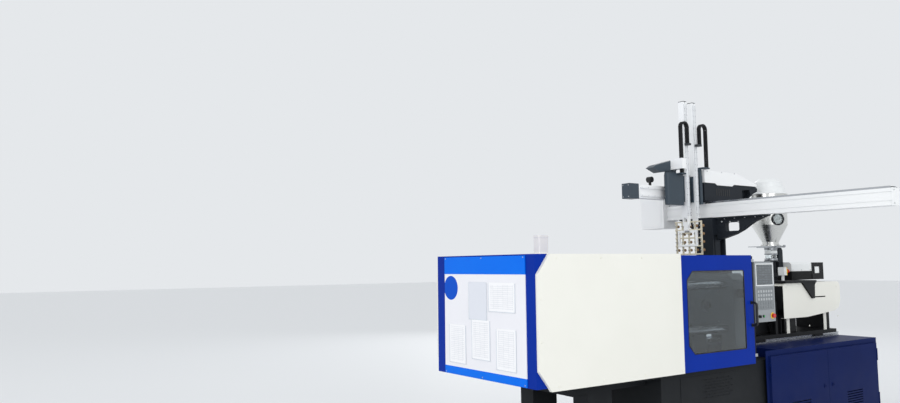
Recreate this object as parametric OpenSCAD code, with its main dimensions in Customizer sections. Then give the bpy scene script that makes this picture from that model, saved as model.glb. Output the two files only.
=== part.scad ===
// Horizontal injection moulding machine with a three-axis take-out robot on its fixed platen.
// The long axis is X, from the clamp end to the injection end. The operator stands on the -Y side.

/* [Guards] */
// Height of the guard's top above the floor
guard_top = 1720; // [1600:10:1900]
// Height of the cream side covers
cover_h = 970; // [850:10:1000]
// Width across the end cover
guard_w = 1232; // [1180:4:1300]
// Length of the cream side covers
cover_len = 1556; // [1500:1:1590]
// Height of the cut corners of the side covers
corner_h = 146; // [100:1:170]
// Length of the cut corners of the side covers
corner_len = 114; // [80:1:140]
// How far the side covers stand proud of the end cover
cover_proud = 25; // [18:1:30]
// Sheet thickness of covers and doors
sheet = 3; // [2:0.5:4]
// Length of a sliding door that shows beyond the side cover
door_len = 1010; // [900:5:1060]
// Thickness of a sliding door
door_t = 24; // [18:1:30]
// Travel of a sliding door
door_travel = 940; // [600:10:960]

/* [Base] */
// How far the machine bed stays behind the side of the end cover
base_inset = 56; // [46:2:70]
// Height of the bed deck
deck_z = 760; // [700:10:780]
// Total length of the machine
machine_len = 4740; // [4700:10:4900]
// Height of the cabinet under the injection unit
cabinet_top = 840; // [800:10:860]
// Height of the levelling feet
foot_h = 60; // [45:1:80]

/* [Clamp] */
// Height of the clamp and barrel axis
axis_z = 1230; // [1200:5:1260]
// Side of the square platens
platen = 620; // [580:5:640]
// Thickness of the fixed platen
fixed_t = 200; // [180:5:220]
// Thickness of the moving platen
moving_t = 180; // [150:5:200]
// Centre distance of the tie bars
tie_pitch = 410; // [390:5:430]
// Diameter of the tie bars
tie_d = 80; // [70:1:90]
// Largest distance between the platens
daylight = 780; // [700:10:800]
// Travel of the moving platen
clamp_stroke = 400; // [300:10:450]
// Diameter of the clamp ram
ram_d = 180; // [150:5:200]
// Travel of the ejector
eject_stroke = 90; // [60:5:95]
// Diameter of the mould locating bore
locating_d = 125; // [100:5:160]
// Side of the square mould bolt pattern
bolt_pitch = 280; // [210:70:280]
// Diameter of the mould bolt holes
bolt_d = 16; // [12:1:20]

/* [Injection] */
// Outer diameter of the barrel
barrel_d = 120; // [100:5:130]
// Diameter of the screw
screw_d = 40; // [34:1:45]
// Travel of the injection carriage
carriage_stroke = 220; // [150:10:250]
// Injection stroke of the screw
inject_stroke = 160; // [120:5:180]
// Diameter of the hopper at its rim
hopper_d = 356; // [330:2:380]

/* [Robot] */
// Height of the traverse beam's underside
beam_z = 2085; // [2000:5:2150]
// Height of the traverse beam
beam_h = 140; // [120:5:160]
// Width of the traverse beam
beam_w = 130; // [110:5:150]
// Reach of the traverse beam on the operator's side
beam_reach = 1765; // [1500:5:1800]
// Length of the vertical arms
arm_len = 1130; // [1000:10:1200]
// Travel of the vertical arms
arm_stroke = 800; // [600:10:850]

/* [Hidden] */
$fn = 64;
eps = 0.01;
gap = 0.3;         // running gap between pieces that seat or slide

// Guards
guard_half = guard_w / 2;                 // outer face of the end cover's sides
cover_bottom = guard_top - cover_h;
cover_x0 = 7;                             // front edge of the side covers
cover_x1 = cover_x0 + cover_len;          // where the doors come out
cover_face = guard_half + gap + cover_proud;
end_depth = 200;                          // how far the end cover wraps round the corner
end_bottom = cover_bottom + 23;
door_lap = 50;                            // part of a door that stays behind the side cover
door_x0 = cover_x1 - door_lap;
door_x1 = cover_x1 + door_len;
door_z0 = cover_bottom - 4;
door_z1 = guard_top - 12;
door_face = guard_half - 4;               // outer face of a door
door_back = door_face - door_t;
window_x0 = cover_x1 + 98;
window_x1 = door_x1 - 118;
window_z0 = cover_bottom + 134;
window_z1 = guard_top - 142;
window_cut = 76;                          // cut corners of the window on the clamp side
window_r = 14;                            // round corners of the window on the other side
pane_t = 6;
seal = 7;                                 // width of the rubber round the window
board_w = 1024;
board_z0 = end_bottom + 3;
board_z1 = guard_top - 10;
board_t = 8;
board_y = -8;                             // the board sits a little off the middle
header_h = 136;
footer_h = 62;
tube = 40;                                // guard frame tube
frame_x = [240, 900, cover_x1 - 90];      // guard frame hoops
frame_half = door_back - 30;              // outer face of the guard frame
frame_top = guard_top - sheet - gap;
track_z = [cover_bottom + 60, guard_top - 60];
track_h = 26;
track_t = 14;

// Base
base_half = guard_half - base_inset;
bed_x0 = 500;                             // front end of the deck, behind the overhanging clamp end
deck_t = 40;                              // deck plate
web_t = 60;                               // walls under the slide rails
bed_low = deck_z - 325;                   // lower edge of the side walls of the bed's wide part
front_low = deck_z - 110;                 // lower edge of the beams of its narrow part
front_half = platen / 2 + 90;             // half width of the narrow part under the clamp end
side_t = 70;                              // thickness of the bed's side walls
chute_x = [1420, 2380];                   // opening where the products fall through
chute_half = 200;
wide_x0 = chute_x[0] - 60;                // where the bed's wide part begins
pillar_x = [700, 965];                    // front pillars
pillar_w = 160;
rear_pillar_w = 150;
rear_pillar_x = [2420, 2936];             // pillars under the fixed platen
sill_z = [80, 190];                       // long beams near the floor
vent_x = [1600, 2418];
vent_t = 3;
vent_z = [sill_z[1] + 4, deck_z - 62];
slot_w = 62;
slot_h = 9;
// places of the feet: along the machine and to each side
feet = [[(pillar_x[0] + pillar_x[1]) / 2, front_half - pillar_w / 2], [2585, base_half - 80],
    [3300, base_half - 80], [machine_len - 180, base_half - 80]];
foot_d = 110;
cab_x0 = 2754;                            // where the blue side sheets begin
cab_box_x0 = rear_pillar_x[1] + 6;        // closed part of the cabinet, behind the bed
cab_x1 = machine_len;
cab_half = guard_half - 20;
cab_wall = 5;
cab_z0 = foot_h + gap;
cab_door_x = [cab_x0 + 40, (cab_x0 + cab_x1) / 2, cab_x1 - 40];
cab_door_z = [cab_z0 + 40, cabinet_top - 50];
cab_door_t = 22;
hinge_d = 14;
hinge_pin = 6;
knuckle_h = 60;
hinge_gap = 2;

// Clamp unit
fixed_x0 = 2720;                          // mould face of the fixed platen
fixed_x1 = fixed_x0 + fixed_t;
post_x0 = fixed_x0 - 90;                  // post that carries the far end of the tracks
moving_x1 = fixed_x0 - daylight;          // mould face of the moving platen, mould open
moving_x0 = moving_x1 - moving_t;
spacer_len = 190;                         // room for the ejector behind the moving platen
spacer_x0 = moving_x0 - spacer_len;
tail_x0 = 520;                            // cylinder platen
tail_t = 200;
tail_x1 = tail_x0 + tail_t;
cyl_x0 = 110;
cyl_d = 330;
rail_h = 30;                              // hardened slide rails
rail_w = 60;
rail_y = 255;
shoe_z = deck_z + rail_h + gap;
nut_t = 70;
nut_d = 130;
ejector_rod_d = 45;
ejector_hole_d = ejector_rod_d + 2 * gap;

// Injection unit
inj_rail_h = 42;
inj_rail_w = 45;
inj_rail_y = 200;
inj_base_z = cabinet_top + inj_rail_h + gap;
inj_base_t = 38;
inj_base_top = inj_base_z + inj_base_t;
pull_x = [2990, 3262];                    // cylinders that draw the carriage forward
pull_y = 210;
pull_z = axis_z;
rod_d = 36;
stand_x = 3850;                           // middle of the hopper
block_x = [stand_x - 105, stand_x + 105]; // feed block that holds the barrel
block_w = 360;
barrel_x0 = 2990;
nozzle_x0 = fixed_x0 + 95;
screw_x0 = barrel_x0 + 60;
thrust_x = 4240;
thrust_t = 60;
barrel_guard_x0 = 3200;
barrel_guard_half = 135;
barrel_guard_top = axis_z + 130;
purge_half = barrel_guard_half + gap + sheet;
purge_lap = 30;                           // part of the nozzle cover that lies on the barrel's cover
guide_y = 145;                            // injection cylinders beside the screw
guide_d = 46;
cover_inj_x = [3556, 4630];
cover_inj_y = 300;
cover_inj_z = [1076, 1428];
bed_plate_x0 = 3120;                      // front end of the injection unit's base plate
bed_plate_half = 250;
lug_x = [3490, 3530];                     // lugs that take the cylinder rods
rear_plate_x = [cover_inj_x[1] - 70, cover_inj_x[1] - 26];
side_slot = [568, 783, 194, 206];         // slot in the cover's side, from its lower front corner
gate_t = 8;                               // slide plate under the hopper
gate_half = 82;
sight_z = [1660, 1806];
sight_d = 132;
cone_top = 2036;
hopper_top = 2362;
motor_x = [4010, 4392, 4628];             // drive housing, and the fan box behind it
motor_y = [-128, 62];
motor_z = [1452, 1545, 1640];
plate_inj_x = [3560, 4127];               // black plate across the cover
plate_inj_y = [-330, 150];

// Robot
post_x = [2735, 2935];
post_half = 100;
beam_x = (post_x[0] + post_x[1]) / 2;
beam_top = beam_z + beam_h;
beam_y1 = 470;
guide_h = 18;                             // linear rails on the beam
carriage_plate_z = beam_top + guide_h + 12;
kick_z = [carriage_plate_z + 2, carriage_plate_z + 128];
kick_y = [100, 190];
main_x = fixed_x0 - 242;                  // middle of the main arm
sub_x = main_x + 134;                     // middle of the sub arm
kick_x = [main_x - 553, sub_x + 103];
kick_cap = 124;                           // closed end piece of the kick beam
kick_rail = 12;                           // how far the rails stand out of the kick beam
kick_rail_z = [kick_z[0] + 26, kick_z[1] - 26];
arm_y = kick_y[0] - 100;
arm_w = 48;
arm_d = 60;
arm_z0 = beam_z - 5;
slide_z = [kick_z[0] - 46, kick_z[1] + 120];
chain_w = 38;
chain_t = 18;
chain_r = 48;                             // bend of the cable chains
chain_out = [-112, 130];                  // outer legs of both chains, from the middle of their arms
chain_z = [slide_z[1], slide_z[1] + 73];  // shelves that hold their lower ends
duct_z = [slide_z[1] + 40, slide_z[1] + 140];
chain_y = arm_y - arm_d / 2 - 6 - chain_w;
chain_top = arm_z0 + arm_len - 262;
chain_drop = 150;
carriage_x1 = stand_x - hopper_d / 2 - 82; // rear end of the robot's carriage, clear of the hopper
window_bracket = [270, 96, 153, 84];      // middle, depth below the beam, width and height
bracket_reach = [620, 320];               // how far the bracket carries the beam, from the post's middle
wrist_z = arm_z0 - 60;

// The row frame has its origin under the middle of the whole outline.
row_x0 = -board_t - 2 + gap;
row_x1 = machine_len;
row_y0 = -beam_reach;
row_y1 = beam_y1 + 300;
row_shift = [-(row_x0 + row_x1) / 2, -(row_y0 + row_y1) / 2, 0];

navy = [0.06, 0.12, 0.5];
cream = [0.93, 0.93, 0.88];
dark = [0.13, 0.14, 0.15];
black = [0.04, 0.04, 0.045];
steel = [0.72, 0.73, 0.75];
white = [0.93, 0.94, 0.95];
light_grey = [0.72, 0.73, 0.74];
iron = [0.25, 0.3, 0.33];

// A box from its lowest to its highest corner.
module box(lo, hi) {
    translate(lo) cube([hi[0] - lo[0], hi[1] - lo[1], hi[2] - lo[2]]);
}

// A round bar along X.
module bar_x(x0, x1, d, y = 0, z = axis_z) {
    translate([x0, y, z]) rotate([0, 90, 0]) cylinder(h = x1 - x0, d = d);
}

// A round bar along Y.
module bar_y(y0, y1, d, x, z) {
    translate([x, y0, z]) rotate([-90, 0, 0]) cylinder(h = y1 - y0, d = d);
}

// A flat rectangle with round corners, centred on the origin.
module round_rect(w, h, r) {
    square([w - 2 * r, h], center = true);
    square([w, h - 2 * r], center = true);
    for (x = [-1, 1], y = [-1, 1])
        translate([x * (w / 2 - r), y * (h / 2 - r)]) circle(r);
}

// Stands a flat outline drawn in X and Z upright, from y0 towards +Y by t.
module upright(y0, t) {
    translate([0, y0 + t, 0]) rotate([90, 0, 0]) linear_extrude(t) children();
}

// Everything below is drawn about the machine's own axis and moved to the row frame here.
module place() {
    translate(row_shift) children();
}

// The copies that stand on the operator's side and, mirrored, on the far side.
module both_sides() {
    children();
    mirror([0, 1, 0]) children();
}

// Base

module base_frame() {
    low = foot_h + gap;
    top = deck_z - deck_t + eps;
    color(dark) {
        // deck plate with the chute opening
        difference() {
            box([bed_x0, -base_half, deck_z - deck_t], [rear_pillar_x[1], base_half, deck_z]);
            box([chute_x[0], -chute_half, deck_z - deck_t - 1], [chute_x[1], chute_half, deck_z + 1]);
        }
        both_sides() {
            // narrow part under the clamp end: pillar with a stiffened foot, upper beam and sill
            box([pillar_x[0], -front_half, low], [pillar_x[1], -front_half + pillar_w, top]);
            box([pillar_x[0] - 30, -front_half - 20, low], [pillar_x[1] + 30, -front_half + pillar_w, low + 24]);
            box([bed_x0, -front_half, front_low], [wide_x0 + eps, -front_half + side_t, top]);
            box([pillar_x[1] - eps, -front_half, sill_z[0]], [wide_x0 + eps, -front_half + 90, sill_z[1]]);
            // wide part: side wall, rear pillar and sill
            box([wide_x0, -base_half, bed_low], [rear_pillar_x[1], -base_half + side_t, top]);
            box([rear_pillar_x[0], -base_half, low], [rear_pillar_x[1], -base_half + rear_pillar_w, bed_low + eps]);
            box([wide_x0, -base_half, sill_z[0]], [rear_pillar_x[0] + eps, -base_half + 90, sill_z[1]]);
            // walls under the slide rails
            box([bed_x0, -rail_y - web_t / 2, front_low], [wide_x0 + eps, -rail_y + web_t / 2, top]);
            box([wide_x0, -rail_y - web_t / 2, bed_low + 60], [rear_pillar_x[1], -rail_y + web_t / 2, top]);
        }
        // cross walls that tie both sides together
        box([bed_x0, -front_half + side_t - eps, front_low], [bed_x0 + 60, front_half - side_t + eps, top]);
        for (x = [wide_x0, chute_x[1], rear_pillar_x[1] - 60])
            box([x, -base_half + side_t - eps, bed_low], [x + 60, base_half - side_t + eps, top]);
        box([pillar_x[0] + 60, -front_half + pillar_w - eps, sill_z[0]],
            [pillar_x[0] + 180, front_half - pillar_w + eps, sill_z[1]]);
        box([wide_x0, -base_half + 90 - eps, sill_z[0]], [wide_x0 + 90, base_half - 90 + eps, sill_z[1]]);
        box([rear_pillar_x[1] - 120, -base_half + rear_pillar_w - eps, sill_z[0]],
            [rear_pillar_x[1], base_half - rear_pillar_w + eps, sill_z[1]]);
    }
}

module levelling_feet() {
    color(black)
        for (f = feet, s = [-1, 1])
            translate([f[0], s * f[1], 0]) {
                cylinder(h = 22, d = foot_d);
                translate([0, 0, 22 - eps]) cylinder(h = 14, d1 = foot_d * 0.8, d2 = 60);
                translate([0, 0, 30]) cylinder(h = foot_h - 30, d = 30);
                translate([0, 0, foot_h - 18]) cylinder(h = 18, d = 52, $fn = 6);
            }
}

// One dark panel with staggered cooling slots and a folded edge, on the operator's side.
module vent_panel() {
    rows = 7;
    pitch_x = slot_w + 16;
    pitch_z = slot_h + 16;
    count = 5;
    first_x = vent_x[0] + 272;
    first_z = vent_z[1] - rows * pitch_z - 18;
    upright(-base_half - gap - vent_t, vent_t)
        difference() {
            translate([vent_x[0], vent_z[0]]) square([vent_x[1] - vent_x[0], vent_z[1] - vent_z[0]]);
            for (r = [0 : rows - 1], c = [0 : count - 1])
                translate([first_x + c * pitch_x + (r % 2) * pitch_x / 2, first_z + r * pitch_z])
                    square([slot_w, slot_h]);
        }
    box([vent_x[0], -base_half - gap - eps, vent_z[0]], [vent_x[0] + vent_t, -base_half + 40, bed_low - gap]);
}

module vent_panels() {
    color(dark) both_sides() vent_panel();
}

module cabinet_shell() {
    color(navy) {
        difference() {
            union() {
                box([cab_box_x0, -cab_half, cab_z0], [cab_x1, cab_half, cabinet_top]);
                both_sides()
                    box([cab_x0, -cab_half, cab_z0], [cab_box_x0 + eps, -cab_half + cab_wall, cabinet_top]);
            }
            box([cab_box_x0 + cab_wall, -cab_half + cab_wall, cab_z0 + cab_wall],
                [cab_x1 - cab_wall, cab_half - cab_wall, cabinet_top - cab_wall]);
            // the opening that both doors close
            box([cab_door_x[0] + 12, -cab_half - 1, cab_door_z[0] + 12],
                [cab_door_x[2] - 12, -cab_half + cab_wall + 1, cab_door_z[1] - 12]);
            // cooling slots at the far side
            for (i = [0 : 11])
                box([cab_x0 + 1150, cab_half - cab_wall - 1, cab_z0 + 120 + i * 34],
                    [cab_x0 + 1650, cab_half + 1, cab_z0 + 132 + i * 34]);
            // cable entry towards the bed
            box([cab_box_x0 - 1, -120, 300], [cab_box_x0 + cab_wall + 1, 120, 420]);
        }
        cabinet_hinge(cab_door_x[0], -1);
        cabinet_hinge(cab_door_x[2], 1);
        for (y = [-inj_rail_y, inj_rail_y])
            box([cab_box_x0 + cab_wall - eps, y - 40, cab_z0 + cab_wall - eps],
                [cab_box_x0 + cab_wall + 60, y + 40, cabinet_top - cab_wall + eps]);
    }
}

// Heights of the cabinet door hinges.
function hinge_places() = [cab_door_z[0] + 90, cab_door_z[1] - 150];

// The cabinet's half of one hinge: two knuckles on leaves and the pin between them.
module cabinet_hinge(x, side) {
    y = -cab_half - gap - cab_door_t;
    for (z = hinge_places()) {
        for (k = [[z - 32, z - 1], [z + knuckle_h + 1, z + knuckle_h + 32]]) {
            translate([x, y, k[0]]) cylinder(h = k[1] - k[0], d = hinge_d);
            box([x - 2 + side * 5, y, k[0]], [x + 2 + side * 5, -cab_half + eps, k[1]]);
        }
        translate([x, y, z - 2]) cylinder(h = knuckle_h + 4, d = hinge_pin);
    }
}

// One cabinet door: a folded pan with a turn lock, slots and its half of the hinges.
module cabinet_door(x0, x1, hinge_side) {
    y1 = -cab_half - gap;
    y0 = y1 - cab_door_t;
    lock_x = hinge_side < 0 ? x1 - 70 : x0 + 70;
    hinge_x = hinge_side < 0 ? x0 : x1;
    lock_z = (cab_door_z[0] + cab_door_z[1]) / 2;
    difference() {
        union() {
            difference() {
                box([x0, y0, cab_door_z[0]], [x1, y1, cab_door_z[1]]);
                box([x0 + 20, y0 + sheet, cab_door_z[0] + 20], [x1 - 20, y1 + 1, cab_door_z[1] - 20]);
                for (z = hinge_places())
                    box([hinge_x - 12, y0 - 1, z - 34], [hinge_x + 12, y0 + 12, z + knuckle_h + 34]);
                for (i = [0 : 7])
                    box([(x0 + x1) / 2 - 150, y0 - 1, cab_door_z[0] + 70 + i * 24],
                        [(x0 + x1) / 2 + 150, y0 + sheet + 1, cab_door_z[0] + 79 + i * 24]);
            }
            for (z = hinge_places()) {
                translate([hinge_x, y0, z]) cylinder(h = knuckle_h, d = hinge_d);
                box([min(hinge_x, hinge_x - hinge_side * 16), y0 + 2, z],
                    [max(hinge_x, hinge_x - hinge_side * 16), y0 + 7, z + knuckle_h]);
            }
            translate([lock_x, y0 - 6, lock_z]) rotate([-90, 0, 0]) cylinder(h = 12, d = 40);
        }
        for (z = hinge_places())
            translate([hinge_x, y0, z - 1]) cylinder(h = knuckle_h + 2, d = hinge_pin + 2 * gap);
        translate([lock_x, y0 - 7, lock_z]) rotate([-90, 0, 0]) cylinder(h = 4, d = 24);
    }
    box([lock_x - 4, y0 - 6, lock_z - 11], [lock_x + 4, y0 - 2, lock_z + 11]);
}

module cabinet_door_left() {
    color(navy) cabinet_door(cab_door_x[0], cab_door_x[1] - hinge_gap, -1);
}

module cabinet_door_right() {
    color(navy) cabinet_door(cab_door_x[1] + hinge_gap, cab_door_x[2], 1);
}

// Mounting plate with the drive, supply and relay modules inside the cabinet.
module drive_rack() {
    plate_y = 40;
    modules = [[310, 150, 330], [490, 150, 330], [670, 240, 380], [950, 110, 200], [1080, 110, 200],
        [1210, 110, 200], [1360, 260, 300]];
    color(light_grey) {
        box([cab_box_x0 + 80, plate_y, cab_z0 + cab_wall + gap], [cab_x1 - 90, plate_y + 4, cabinet_top - 120]);
        for (m = modules)
            box([cab_x0 + m[0], plate_y - 140, 300], [cab_x0 + m[0] + m[1], plate_y + eps, 300 + m[2]]);
        for (z = [200, 250])
            box([cab_box_x0 + 110, plate_y - 40, z], [cab_x1 - 200, plate_y + eps, z + 22]);
    }
}

module slide_rails() {
    color(steel)
        both_sides() {
            box([tail_x1 + 20, -rail_y - rail_w / 2, deck_z + gap], [fixed_x0 - 20, -rail_y + rail_w / 2, deck_z + rail_h]);
            difference() {
                box([fixed_x1 + 60, -inj_rail_y - inj_rail_w / 2, cabinet_top + gap],
                    [machine_len - 40, -inj_rail_y + inj_rail_w / 2, cabinet_top + inj_rail_h]);
                for (s = [-1, 1])
                    translate([0, -inj_rail_y + s * inj_rail_w / 2, cabinet_top + inj_rail_h / 2])
                        rotate([0, 90, 0]) translate([0, 0, fixed_x1]) cylinder(h = machine_len, d = 12);
            }
        }
}

// Clamp unit

// The outline of a platen seen along X: square with cut corners and two feet.
module platen_outline(foot_z) {
    half = platen / 2;
    cut = 60;
    polygon([[-half + cut, half], [half - cut, half], [half, half - cut], [half, foot_z], [half - 150, foot_z],
        [half - 150, -half + 40], [-half + 150, -half + 40], [-half + 150, foot_z], [-half, foot_z], [-half, half - cut]]);
}

// A platen from x0 to x1 whose feet reach down to foot_z above the floor.
module platen_body(x0, x1, foot_z) {
    translate([x0, 0, axis_z]) rotate([90, 0, 90]) linear_extrude(x1 - x0) platen_outline(foot_z - axis_z);
}

// The four places of the tie bars.
module at_tie_bars() {
    for (y = [-1, 1], z = [-1, 1])
        translate([0, y * tie_pitch / 2, axis_z + z * tie_pitch / 2]) rotate([0, 90, 0]) children();
}

// The four places of the mould bolts.
module at_mould_bolts() {
    for (y = [-1, 1], z = [-1, 1])
        translate([0, y * bolt_pitch / 2, axis_z + z * bolt_pitch / 2]) rotate([0, 90, 0]) children();
}

module cylinder_platen() {
    color(iron)
        difference() {
            platen_body(tail_x0, tail_x1, deck_z + gap);
            bar_x(tail_x0 - 1, tail_x1 + 1, ram_d + 2);
            at_tie_bars() translate([0, 0, tail_x0 - 1]) cylinder(h = tail_t + 2, d = tie_d + 0.6);
        }
}

module clamp_cylinder() {
    color(iron)
        difference() {
            union() {
                bar_x(cyl_x0, tail_x0 - gap, cyl_d);
                bar_x(tail_x0 - gap - 45, tail_x0 - gap, cyl_d + 70);
                bar_x(cyl_x0 - 20, cyl_x0 + 30, cyl_d + 24);
            }
            bar_x(cyl_x0 + 40, tail_x0 + 1, ram_d + 2);
        }
    color(steel)
        for (a = [0 : 45 : 359])
            translate([cyl_x0 - 20, (cyl_d / 2 - 22) * cos(a), axis_z + (cyl_d / 2 - 22) * sin(a)])
                rotate([0, -90, 0]) cylinder(h = 16, d = 30);
}

// Tie bars with the slotted nuts on both ends.
module tie_bars() {
    x0 = tail_x0 - nut_t - 30;
    x1 = fixed_x1 + nut_t + 30;
    color(steel) {
        at_tie_bars() translate([0, 0, x0]) cylinder(h = x1 - x0, d = tie_d);
        for (x = [tail_x0 - nut_t - gap, fixed_x1 + gap])
            at_tie_bars() translate([0, 0, x])
                difference() {
                    cylinder(h = nut_t, d = nut_d);
                    for (a = [0 : 60 : 359])
                        rotate([0, 0, a]) translate([nut_d / 2, 0, -1]) cylinder(h = nut_t + 2, d = 14);
                }
    }
}

module fixed_platen() {
    color(iron)
        difference() {
            platen_body(fixed_x0, fixed_x1, deck_z + gap);
            bar_x(fixed_x0 - 1, fixed_x0 + 30, locating_d);
            bar_x(fixed_x0, fixed_x1 + 1, 70);
            translate([fixed_x0 + 90, 0, axis_z]) rotate([0, 90, 0]) cylinder(h = fixed_t - 90 + 1, d1 = 100, d2 = 260);
            at_tie_bars() translate([0, 0, fixed_x0 - 1]) cylinder(h = fixed_t + 2, d = tie_d + 0.6);
            at_mould_bolts() translate([0, 0, fixed_x0 - 1]) cylinder(h = 46, d = bolt_d);
        }
}

module moving_platen() {
    color(iron)
        difference() {
            platen_body(moving_x0, moving_x1, shoe_z);
            bar_x(moving_x0 - 1, moving_x1 + 1, ejector_hole_d);
            bar_x(moving_x1 - 30, moving_x1 + 1, locating_d);
            at_tie_bars() translate([0, 0, moving_x0 - 1]) cylinder(h = moving_t + 2, d = tie_d + 1);
            at_mould_bolts() translate([0, 0, moving_x1 - 45]) cylinder(h = 46, d = bolt_d);
        }
}

// Ram with the open spacer that joins it to the moving platen and leaves room for the ejector.
module clamp_ram() {
    post = 50;
    side = 150;
    color(steel) bar_x(cyl_x0 + 60, spacer_x0 + 10, ram_d);
    color(iron) {
        box([spacer_x0, -side, axis_z - side], [spacer_x0 + 40, side, axis_z + side]);
        for (y = [-side, side - post], z = [-side, side - post])
            box([spacer_x0 + 40 - eps, y, axis_z + z], [moving_x0 - gap, y + post, axis_z + z + post]);
    }
}

module ejector() {
    color(steel) {
        box([spacer_x0 + 44, -90, axis_z - 90], [spacer_x0 + 74, 90, axis_z + 90]);
        bar_x(spacer_x0 + 70, moving_x1 - 40, ejector_rod_d);
    }
}

// Guards

module guard_frame() {
    floor_z = deck_z + gap;
    color(dark) {
        for (x = frame_x) {
            both_sides() box([x, -frame_half, floor_z], [x + tube, -frame_half + tube, frame_top]);
            box([x, -frame_half, frame_top - tube], [x + tube, frame_half, frame_top]);
        }
        box([frame_x[0], -frame_half, floor_z], [frame_x[0] + tube, frame_half, floor_z + tube]);
        both_sides() {
            // long tubes: the lower one carries the overhanging clamp end
            box([frame_x[0], -frame_half, frame_top - tube], [frame_x[2] + tube, -frame_half + tube, frame_top]);
            box([frame_x[0], -frame_half, floor_z], [post_x0 + tube, -frame_half + tube, floor_z + tube]);
            box([post_x0, -frame_half, floor_z], [post_x0 + tube, -frame_half + tube, track_z[1] + tube]);
        }
    }
}

module door_tracks() {
    x0 = frame_x[0] + tube + 20;
    x1 = post_x0 + tube;
    outer = -frame_half - gap - track_t;
    color(steel)
        both_sides()
            for (z = track_z)
                difference() {
                    box([x0, outer, z - track_h / 2], [x1, outer + track_t, z + track_h / 2]);
                    // rounded running grooves above and below
                    for (s = [-1, 1])
                        translate([x0 - 1, outer + track_t / 2, z + s * track_h / 2])
                            rotate([0, 90, 0]) cylinder(h = x1 - x0 + 2, d = 6);
                }
}

module end_cover() {
    color(navy)
        difference() {
            box([0, -guard_half, end_bottom], [end_depth, guard_half, guard_top]);
            box([sheet, -guard_half + sheet, end_bottom + sheet], [end_depth + 1, guard_half - sheet, guard_top - sheet]);
        }
}

// The board has its coloured bands as raised strips on one panel.
module notice_board() {
    y0 = board_y - board_w / 2;
    color(white) box([-board_t + 2, y0, board_z0], [-gap, y0 + board_w, board_z1]);
    color([0.05, 0.4, 0.95]) {
        box([-board_t, y0, board_z1 - header_h], [-board_t + 2 + eps, y0 + board_w, board_z1]);
        box([-board_t, y0, board_z0], [-board_t + 2 + eps, y0 + board_w, board_z0 + footer_h]);
    }
}

// Clear pockets with sheets in them; the first is upright-wide, the others upright.
module document_sleeves() {
    // middle across, middle height, width and height of each sleeve
    sleeves = [[-248, 1405, 306, 214], [324, 1022, 214, 300], [15, 1075, 222, 300], [-295, 1022, 222, 300],
        [50, 1372, 222, 288]];
    color(white)
        for (s = sleeves)
            translate([-board_t - 2 + gap, s[0], s[1]]) translate([0, -s[2] / 2, -s[3] / 2])
                cube([4 - 2 * gap, s[2], s[3]]);
}

// The side cover's outline, with its two cut front corners.
module cover_outline(inset = 0) {
    x0 = cover_x0 + inset;
    x1 = cover_x1 - inset;
    z0 = cover_bottom + inset;
    z1 = guard_top - inset;
    cx = corner_len - inset * 0.55;
    cz = corner_h - inset * 0.55;
    polygon([[x0, z0 + cz], [x0 + cx, z0], [x1, z0], [x1, z1], [x0 + cx, z1], [x0, z1 - cz]]);
}

module side_cover() {
    upright(-cover_face, sheet) cover_outline();
    upright(-cover_face + sheet - eps, cover_proud - sheet + eps)
        difference() {
            cover_outline();
            cover_outline(sheet);
        }
    // stiffening ribs behind the skin, which rest against the end cover and the top cover
    for (z = [cover_bottom + 240, guard_top - 330])
        box([cover_x0 + sheet, -cover_face + sheet - eps, z], [cover_x1 - sheet, -cover_face + cover_proud - 6, z + 24]);
}

module side_covers() {
    color(cream) both_sides() side_cover();
}

module top_cover() {
    color(navy)
        difference() {
            box([end_depth + gap, -guard_half, guard_top - sheet], [cover_x1, guard_half, guard_top]);
            for (i = [0 : 9], s = [-1, 1])
                box([720 + i * 60, s * 160 - 110, guard_top - sheet - 1], [740 + i * 60, s * 160 + 110, guard_top + 1]);
        }
}

// The window's outline, grown by a margin.
module window_outline(grow = 0) {
    x0 = window_x0 - grow;
    x1 = window_x1 + grow;
    z0 = window_z0 - grow;
    z1 = window_z1 + grow;
    c = window_cut + grow * 0.4;
    r = window_r + grow;
    polygon([[x0, z0 + c], [x0 + c, z0], [x1 - r, z0], [x1, z0 + r], [x1, z1 - r], [x1 - r, z1], [x0 + c, z1], [x0, z1 - c]]);
}

module door_frame() {
    upright(-door_face, sheet)
        difference() {
            translate([door_x0, door_z0]) square([door_x1 - door_x0, door_z1 - door_z0]);
            window_outline();
        }
    upright(-door_face + sheet - eps, door_t - sheet + eps)
        difference() {
            translate([door_x0, door_z0]) square([door_x1 - door_x0, door_z1 - door_z0]);
            translate([door_x0 + 18, door_z0 + 18]) square([door_x1 - door_x0 - 36, door_z1 - door_z0 - 36]);
        }
    // the pocket that holds the pane, with its lip behind
    upright(-door_face + sheet - eps, door_t - sheet + eps)
        difference() {
            window_outline(34);
            window_outline(30 + gap);
        }
    upright(-door_face + sheet + pane_t + 2 * gap, 6)
        difference() {
            window_outline(32);
            window_outline(4);
        }
    // guide shoes that run above and below the tracks
    for (x = [door_x0 + 60, door_x1 - 130], z = track_z, s = [-1, 1])
        box([x, -door_face + sheet - eps, z + s * (track_h / 2 + 6 + gap) - 6],
            [x + 70, -frame_half - 2, z + s * (track_h / 2 + 6 + gap) + 6]);
}

module door_window() {
    upright(-door_face + sheet + gap, pane_t) window_outline(30);
    upright(-door_face - 1.5, sheet + 1.5 + gap + eps)
        difference() {
            window_outline(-gap);
            window_outline(-seal);
        }
}

// A quarter bend of the handle's round bar.
module handle_bend(r, d) {
    rotate_extrude(angle = 90) translate([r, 0]) circle(d = d);
}

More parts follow.
